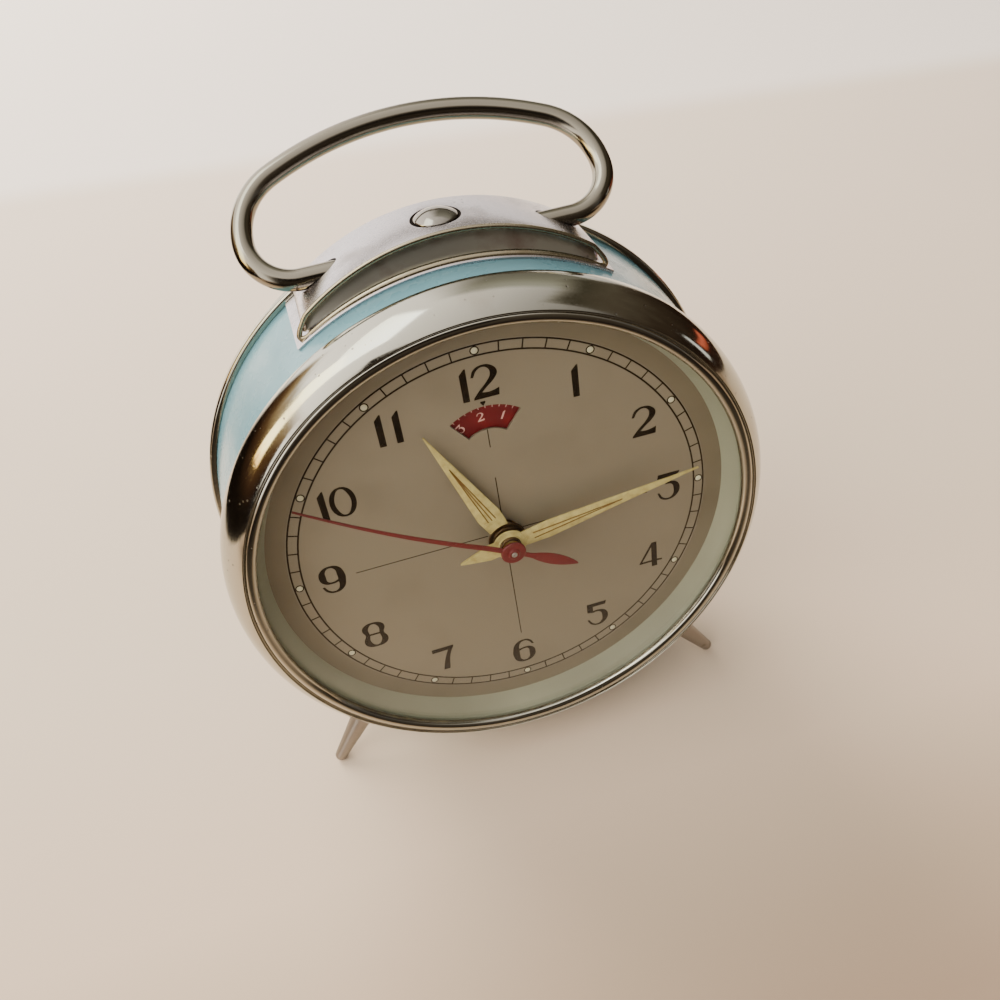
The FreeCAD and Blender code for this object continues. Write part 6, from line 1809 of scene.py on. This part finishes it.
    def handle_path(self) -> list[Point3]:
        """Centre line of the wire, from its right end round to its left end.

        Returns:
            Points in order.
        """
        half, low_r = self.half_w, self.corner_r
        top_centre = self.height - self.top_r
        rise = low_r - top_centre
        side_r = (self.top_r**2 - half**2 - rise**2) / (2.0 * (self.top_r - half))
        side_x = half - side_r
        meet = math.degrees(math.atan2(rise, side_x))
        flat: list[Point2] = [(self.end_x + (half - low_r - self.end_x) * i / 4, 0.0) for i in range(4)]
        flat += arc((half - low_r, low_r), low_r, -90.0, 0.0, 24)
        flat += arc((side_x, low_r), side_r, 0.0, meet, 32)[1:]
        flat += arc((0.0, top_centre), self.top_r, meet, 90.0, 32)[1:]
        flat += [(-u, v) for u, v in reversed(flat[:-1])]
        lean = math.radians(self.lean_deg)
        return [(u, self.pivot_y + v * math.sin(lean), self.pivot_z + v * math.cos(lean)) for u, v in flat]

    def build_button(self, bench: Bench) -> None:
        """Domed button with a turned edge, on its stem.

        Args:
            bench: Bench that makes the pieces.
        """
        top = self.bridge_top_z + self.button_rise
        edge = self.bridge_top_z - 0.1
        skirt = self.bridge_top_z - 0.95
        low = self.bridge_top_z - 1.2
        hollow = self.bridge_top_z - 0.8
        bevel = 0.18
        profile = [(0.0, self.stem_low), (self.stem_r, self.stem_low), (self.stem_r, hollow),
                   (self.skirt_r - 1.45, hollow), (self.skirt_r - 0.85, low), (self.skirt_r, low),
                   (self.skirt_r, skirt), (self.button_r, skirt), (self.button_r, edge - 0.12),
                   (self.button_r - 0.06, edge + 0.04)]
        crown = (self.button_r * 0.55, top - 0.34)
        profile += arc_through((self.button_r - bevel, edge + 0.16), crown, (0.0, top), 14)
        shape = lathe(profile, 72, closed=False).placed(self.upright)
        bench.piece("button_cap", shape, BUTTON_PLATE, Body.BUTTON, "chrome", ("stop_button",), 30.0)
        # An almost black ring in the gap round the cap: painted shade of the gap
        inner, outer = self.button_r + 0.06, self.button_hole_r + 0.05
        gap_band = [(inner, skirt + 0.15), (inner, skirt + 0.57), (outer, skirt + 0.63), (outer, skirt + 0.15)]
        gap_shade = lathe(gap_band, 72).placed(self.upright)
        bench.piece("gap_grime", gap_shade, BUTTON_GAP_SHADE, Body.CASE, "chrome", (), 30.0)


@dataclass
class Back:
    """Keys, knobs and the regulator's pointer behind the cover."""

    def build(self, bench: Bench) -> None:
        """Dress the parts that stand out of the cover.

        Args:
            bench: Bench that makes the pieces.
        """
        for node, body in (("time_key", Body.TIME_WINDER), ("alarm_key", Body.ALARM_WINDER),
                           ("set_knob", Body.SETTING), ("alarm_knob", Body.ALARM_SETTING)):
            bench.merged_copy(node, NICKEL, body, "nickel", 30.0)
        bench.merged_copy("regulator_lever", BRASS, Body.REGULATOR, "brass", 30.0)


@dataclass
class Movement:
    """Going train, alarm train, plates, springs and bell inside the drum."""

    def build(self, bench: Bench) -> None:
        """Give each part of the movement its metal.

        Args:
            bench: Bench that makes the pieces.
        """
        bench.dress(("front_plate", "back_plate", "cannon_pinion", "minute_wheel", "hour_wheel",
                     "alarm_wheel", "time_great_wheel", "centre_wheel", "third_wheel", "fourth_wheel",
                     "escape_wheel", "balance_wheel", "alarm_great_wheel", "alarm_escape_wheel",
                     "pillar_1", "pillar_2", "pillar_3", "pillar_4"), BRASS)
        bench.dress(("plate_nuts", "foot_nuts", "button_spring", "stop_lever", "set_arbor", "alarm_arbor",
                     "time_winding_arbor", "time_click", "pallet_fork", "balance_screw",
                     "alarm_winding_arbor", "alarm_click", "hammer"), STEEL)
        bench.dress(("time_mainspring", "alarm_mainspring", "hairspring"), BLUED)
        bench.dress(("bell",), BELL_STEEL)


@dataclass(frozen=True)
class PhotoCamera:
    """Camera at the photograph's place, in the clock's frame."""

    spot: Point3 = (-23.65, -144.3, 124.3)
    forward: Point3 = (0.1277, 0.772, -0.6226)
    up: Point3 = (0.2623, 0.579, 0.7714)
    focal_px: float = 953.6
    image_px: float = 1000.0
    sensor_mm: float = 36.0

    def build(self, axes: ClockAxes) -> None:
        """Make the camera and set it as the scene's.

        Args:
            axes: Axes of the clock in the row frame.
        """
        data = bpy.data.cameras.new("camera")
        data.sensor_width = self.sensor_mm
        data.lens = self.focal_px / self.image_px * self.sensor_mm
        data.clip_start = 0.01
        camera = bpy.data.objects.new("camera", data)
        bpy.context.scene.collection.objects.link(camera)
        ahead = axes.direction(Vector(self.forward))
        above = axes.direction(Vector(self.up))
        above = (above - ahead * above.dot(ahead)).normalized()
        right = ahead.cross(above)
        turn = Matrix((right, above, -ahead)).transposed().to_4x4()
        camera.matrix_world = Matrix.Translation(axes.to_row @ Vector(self.spot)) @ turn
        bpy.context.scene.camera = camera
        log.info("camera lens %.2f mm", data.lens)


@dataclass(frozen=True)
class Card:
    """Glowing card that only mirrors see: a painted reflection, such as of the darker room beyond the table.

    Foot and head are its two long edges, each from end to end, in metres. Bands are heights
    from 0 at the foot to 1 at the head with the colour there, and the card fades out towards
    its head and its ends.
    """

    name: str
    foot: tuple[Point3, Point3]
    head: tuple[Point3, Point3]
    bands: Bands
    head_fade: float = 0.35
    end_fade: float = 0.15
    ripple: float = 0.24
    ripple_mm: float = 35.0
    strength: float = 1.0

    def build(self) -> None:
        """Make the card."""
        mesh = bpy.data.meshes.new(self.name)
        mesh.from_pydata([*self.foot, self.head[1], self.head[0]], [], [(0, 1, 2, 3)])
        corners = mesh.uv_layers.new(name="card")
        for corner, at in zip(corners.data, ((0.0, 0.0), (1.0, 0.0), (1.0, 1.0), (0.0, 1.0))):
            corner.uv = at
        made = bpy.data.materials.new(self.name + "_paint")
        made.use_nodes = True
        tree = made.node_tree
        tree.nodes.clear()
        place = add(tree, "ShaderNodeTexCoord").outputs["Object"]
        flat = add(tree, "ShaderNodeUVMap", uv_map="card").outputs[0]
        across = add(tree, "ShaderNodeSeparateXYZ", {0: flat}).outputs
        values = {"Vector": place, "Scale": per_metre(self.ripple_mm), "Detail": 3.0}
        noise = add(tree, "ShaderNodeTexNoise", values).outputs[0]
        rippled = {0: noise, 1: self.ripple, 2: across["Y"]}
        lifted = add(tree, "ShaderNodeMath", rippled, operation="MULTIPLY_ADD").outputs[0]
        centred = {0: lifted, 1: self.ripple / 2.0}
        level = add(tree, "ShaderNodeMath", centred, operation="SUBTRACT").outputs[0]
        ramp = add(tree, "ShaderNodeValToRGB", {0: level})
        set_bands(ramp, self.bands)
        light = {"Color": ramp.outputs[0], "Strength": self.strength}
        glow = add(tree, "ShaderNodeEmission", light).outputs[0]
        solid = self.fade(tree, level, 1.0, 1.0 - self.head_fade)
        for outer, inner in ((0.0, self.end_fade), (1.0, 1.0 - self.end_fade)):
            near = self.fade(tree, across["X"], outer, inner)
            solid = add(tree, "ShaderNodeMath", {0: solid, 1: near}, operation="MULTIPLY").outputs[0]
        open_air = add(tree, "ShaderNodeBsdfTransparent").outputs[0]
        mixed = add(tree, "ShaderNodeMixShader", {0: solid, 1: open_air, 2: glow}).outputs[0]
        add(tree, "ShaderNodeOutputMaterial", {"Surface": mixed})
        mesh.materials.append(made)
        card = bpy.data.objects.new(self.name, mesh)
        bpy.context.scene.collection.objects.link(card)
        card.visible_camera = card.visible_diffuse = card.visible_transmission = card.visible_shadow = False

    def fade(self, tree: Tree, value: Socket, outer: float, inner: float) -> Socket:
        """Share of the card that shows, growing softly from its edge.

        Args:
            tree: The card's node tree.
            value: Place across the card.
            outer: Where the share is 0.
            inner: Where it is 1.

        Returns:
            Socket with the share.
        """
        values = {"Value": value, "From Min": outer, "From Max": inner}
        return add(tree, "ShaderNodeMapRange", values, interpolation_type="SMOOTHSTEP").outputs[0]


# Painted reflections: glowing cards that show only in mirror images. The bright ones paint a window, glints
# and a highlight, and the dark ones paint the darker room and table in front.
LEFT_ROOM_REFLECTION = Card(
    "left_room",
    ((-0.62, -0.31, 0.0), (-0.12, 0.16, 0.0)), ((-0.62, -0.31, 0.50), (-0.12, 0.16, 0.21)),
    ((0.0, "#F2E2C8"), (0.03, "#1A120C"), (0.35, "#1E140D"), (0.5, "#4A2F1E"), (0.68, "#7A5634"),
     (0.84, "#E0BE8C"), (1.0, "#FFF3D6")),
    0.15, 0.05, 0.12,
)
WINDOW_REFLECTION = Card(
    "bright_window",
    ((-0.262, -0.040, 0.135), (-0.25, 0.052, 0.128)), ((-0.262, -0.062, 0.46), (-0.25, 0.086, 0.46)),
    ((0.0, "#C89A58"), (0.1, "#FFE9A8"), (0.5, "#FFF6D2"), (1.0, "#FFFBEA")),
    0.1, 0.1, 0.2, 14.0, 7.0,
)
RIGHT_ROOM_REFLECTION = Card(
    "right_room",
    ((0.19, 0.22, 0.0), (0.28, -0.17, 0.10)), ((0.19, 0.22, 0.30), (0.28, -0.17, 0.62)),
    ((0.0, "#3A2418"), (0.08, "#2E2118"), (0.2, "#4A3D30"), (0.4, "#6E6454"), (0.6, "#575040"),
     (0.8, "#8E8878"), (1.0, "#B8B2A0")),
    0.35, 0.1, 0.18,
)
RED_GLINT = Card(
    "red_light",
    ((0.203, 0.084, 0.060), (0.228, -0.010, 0.094)), ((0.203, 0.084, 0.078), (0.228, -0.010, 0.114)),
    ((0.0, "#B05038"), (0.5, "#FF8060"), (1.0, "#C06048")),
    0.2, 0.2, 0.3, 14.0, 1.3,
)
PALE_GLINT = Card(
    "pale_spot",
    ((0.225, -0.014, 0.088), (0.225, -0.036, 0.088)), ((0.225, -0.016, 0.135), (0.225, -0.030, 0.135)),
    ((0.0, "#F6F2EA"), (1.0, "#FFFFFF")),
    0.2, 0.1, 0.2, 14.0, 1.6,
)
BACK_ROOM_REFLECTION = Card(
    "back_room",
    ((-0.1, 0.85, 0.28), (2.2, 0.35, 0.28)), ((-0.1, 0.85, 1.7), (2.2, 0.35, 1.9)),
    ((0.0, "#8E8A7C"), (0.25, "#AAA694"), (0.5, "#CFCBBA"), (1.0, "#E4E2D4")),
    0.4, 0.15, 0.1, 300.0,
)
FRONT_ROOM_REFLECTION = Card(
    "front_room",
    ((-0.6, -0.5, 0.0), (0.7, -0.5, 0.0)), ((-0.6, -0.5, 0.9), (0.7, -0.5, 0.9)),
    ((0.0, "#443A31"), (0.3, "#544A3F"), (1.0, "#857A6C")),
    0.35, 0.2, 0.15, 200.0,
)
NEAR_TABLE_REFLECTION = Card(
    "near_table",
    ((-0.6, -0.5, 0.002), (0.7, -0.5, 0.002)), ((-0.35, -0.075, 0.002), (0.35, -0.075, 0.002)),
    ((0.0, "#2A231D"), (0.6, "#352C24"), (0.85, "#5E5142"), (1.0, "#A89A88")),
    0.16, 0.1, 0.06, 60.0,
)
DARK_FRONT_REFLECTION = Card(
    "dark_front",
    ((-0.123, -0.166, 0.187), (0.041, -0.214, 0.173)), ((-0.095, -0.091, 0.255), (0.069, -0.139, 0.241)),
    ((0.0, "#463B31"), (0.5, "#2C2620"), (1.0, "#37312A")),
    0.1, 0.06, 0.05, 30.0,
)
HIGH_HIGHLIGHT = Card(
    "high_light",
    ((-1.2, -0.2, 1.1), (-0.30, 0.95, 1.1)), ((-0.5, -0.3, 1.6), (-0.1, 0.5, 1.6)),
    ((0.0, "#F2F0E2"), (0.5, "#FAFAF0"), (1.0, "#FFFFFA")),
    0.12, 0.1, 0.1, 300.0, 6.0,
)
PAINTED_REFLECTIONS = (LEFT_ROOM_REFLECTION, WINDOW_REFLECTION, RIGHT_ROOM_REFLECTION, RED_GLINT, PALE_GLINT, BACK_ROOM_REFLECTION, FRONT_ROOM_REFLECTION, NEAR_TABLE_REFLECTION, DARK_FRONT_REFLECTION,
         HIGH_HIGHLIGHT)


@dataclass
class Studio:
    """Pale table, darker towards its near edge as painted shade and lighter beyond a soft line, a pale room
    and soft lamps.
    """

    table_half: float = 3.0
    near_y: float = -0.11
    deep_y: float = 0.25
    # Table colours from the near edge back: the darker near colours are painted shade
    tones: Bands = (
        (0.0, "#B59C83"), (0.06, "#C3AC92"), (0.16, "#DCC6AD"), (0.35, "#E2D0BA"), (1.0, "#EFDFCD"),
    )
    far_colour: str = "#FFF6EC"
    paper_grain_mm: float = 6.0
    paper_relief_mm: float = 0.05
    paper_roughness: float = 0.75
    line_y: float = 0.26
    line_slope: float = 0.155
    line_soft: float = 0.012
    room_colour: str = "#F1E9E1"
    room_light: float = 0.75
    room_side: Point3 = (-0.75, -0.1, 0.15)
    backdrop_light: float = 2.0
    backdrop_side: Point3 = (-1.0, 0.3, 0.0)
    least_light: float = 0.1
    aim: Point3 = (0.0, 0.0, 0.06)

    def build(self) -> None:
        """Make the table, the world, the glowing cards of painted reflections and the lamps."""
        self.build_table()
        self.build_world()
        self.build_cards()
        self.build_lamps()

    def build_table(self) -> None:
        """Make the table top."""
        half = self.table_half
        corners = [(-half, -half, 0.0), (half, -half, 0.0), (half, half, 0.0), (-half, half, 0.0)]
        mesh = bpy.data.meshes.new("table")
        mesh.from_pydata(corners, [], [(0, 1, 2, 3)])
        paper = bpy.data.materials.new("matt_white_table_paper")
        paper.use_nodes = True
        tree = paper.node_tree
        tree.nodes.clear()
        place = add(tree, "ShaderNodeTexCoord").outputs["Object"]
        parts = add(tree, "ShaderNodeSeparateXYZ", {0: place}).outputs
        sloped = {0: parts["X"], 1: self.line_slope, 2: parts["Y"]}
        depth = add(tree, "ShaderNodeMath", sloped, operation="MULTIPLY_ADD").outputs[0]
        low, high = self.line_y - self.line_soft, self.line_y + self.line_soft
        line = {"Value": depth, "From Min": low, "From Max": high}
        beyond = add(tree, "ShaderNodeMapRange", line, interpolation_type="SMOOTHSTEP").outputs[0]
        # Darker towards the near edge: painted shade
        reach = {"Value": parts["Y"], "From Min": self.near_y, "From Max": self.deep_y}
        near = add(tree, "ShaderNodeValToRGB", {0: add(tree, "ShaderNodeMapRange", reach).outputs[0]})
        set_bands(near, self.tones)
        colours = {0: beyond, 6: near.outputs[0], 7: linear(self.far_colour)}
        colour = add(tree, "ShaderNodeMix", colours, data_type="RGBA").outputs[2]
        values = {"Vector": place, "Scale": per_metre(self.paper_grain_mm), "Detail": 5.0}
        grain = add(tree, "ShaderNodeTexNoise", values).outputs[0]
        values = {"Height": grain, "Distance": self.paper_relief_mm * MM, "Strength": 0.4}
        relief = add(tree, "ShaderNodeBump", values).outputs[0]
        values = {"Base Color": colour, "Roughness": self.paper_roughness, "Normal": relief}
        shader = add(tree, "ShaderNodeBsdfPrincipled", values)
        add(tree, "ShaderNodeOutputMaterial", {"Surface": shader.outputs[0]})
        mesh.materials.append(paper)
        table = bpy.data.objects.new("table", mesh)
        bpy.context.scene.collection.objects.link(table)

    def build_world(self) -> None:
        """Pale room: a backdrop for the eye, mirrors and glass, and a softer level as light."""
        world = bpy.data.worlds.new("room")
        world.use_nodes = True
        tree = world.node_tree
        tree.nodes.clear()
        rays = add(tree, "ShaderNodeLightPath").outputs
        seen = rays["Is Camera Ray"]
        for kind in ("Is Glossy Ray", "Is Transmission Ray"):
            seen = add(tree, "ShaderNodeMath", {0: seen, 1: rays[kind]}, operation="MAXIMUM").outputs[0]
        ray = add(tree, "ShaderNodeTexCoord").outputs["Generated"]
        lit = self.sided(tree, ray, self.room_side, self.room_light)
        mirrored = self.sided(tree, ray, self.backdrop_side, self.backdrop_light)
        level = add(tree, "ShaderNodeMix", {0: seen, 2: lit, 3: mirrored}, data_type="FLOAT").outputs[0]
        light = add(tree, "ShaderNodeBackground", {"Color": linear(self.room_colour), "Strength": level})
        add(tree, "ShaderNodeOutputWorld", {"Surface": light.outputs[0]})
        bpy.context.scene.world = world

    def sided(self, tree: Tree, ray: Socket, side: Point3, level: float) -> Socket:
        """Light level that grows towards one side of the room.

        Args:
            tree: The world's node tree.
            ray: Socket with the direction.
            side: Direction that the light grows towards, with its rate as length.
            level: Level across that direction.

        Returns:
            Socket with the level, never below the least share of the middle.
        """
        lean = add(tree, "ShaderNodeVectorMath", {0: ray, 1: side}, operation="DOT_PRODUCT").outputs["Value"]
        raw = add(tree, "ShaderNodeMath", {0: lean, 1: level, 2: level}, operation="MULTIPLY_ADD").outputs[0]
        least = self.least_light * level
        return add(tree, "ShaderNodeMath", {0: raw, 1: least}, operation="MAXIMUM").outputs[0]

    def build_cards(self) -> None:
        """Stand the glowing cards of painted reflections around the table."""
        for card in PAINTED_REFLECTIONS:
            card.build()

    def lamp(self, name: str, spot: Point3, size: float, watts: float, colour: str) -> None:
        """Square soft lamp that looks at the clock.

        Args:
            name: Name of the lamp.
            spot: Its place in metres.
            size: Side of its square in metres.
            watts: Its power.
            colour: Colour of its light.
        """
        data = bpy.data.lights.new(name, "AREA")
        data.shape = "SQUARE"
        data.size = size
        data.energy = watts
        data.color = linear(colour)[:3]
        lamp = bpy.data.objects.new(name, data)
        lamp.visible_glossy = False
        bpy.context.scene.collection.objects.link(lamp)
        ray = Vector(self.aim) - Vector(spot)
        lamp.matrix_world = Matrix.Translation(spot) @ ray.to_track_quat("-Z", "Y").to_matrix().to_4x4()

    def build_lamps(self) -> None:
        """A broad lamp to the left, as from a window, and one high up behind, as from the sky."""
        self.lamp("window_light", (-0.85, -0.25, 0.8), 1.1, 15.0, "#FFF6EA")
        self.lamp("sky_light", (-0.45, 0.95, 0.75), 0.9, 29.0, "#FFF3E6")


def main() -> None:
    """Build the clock's pieces in order, then the camera and the studio."""
    logging.basicConfig(level=logging.INFO, format="%(message)s")
    axes = ClockAxes.from_joints(frame["joints"])
    bench = Bench(axes, frame["nodes"])
    PhotoCamera().build(axes)
    rings = RingOfParts()
    bars = BarAlongPath()
    Case().build(bench)
    Top().build(bench, bars)
    Bezel().build(bench)
    Dial().build(bench, rings)
    AlarmDial().build(bench, rings)
    Hands().build(bench)
    Crystal().build(bench)
    Back().build(bench)
    Movement().build(bench)
    Studio().build()


if __name__ == "__main__":
    main()
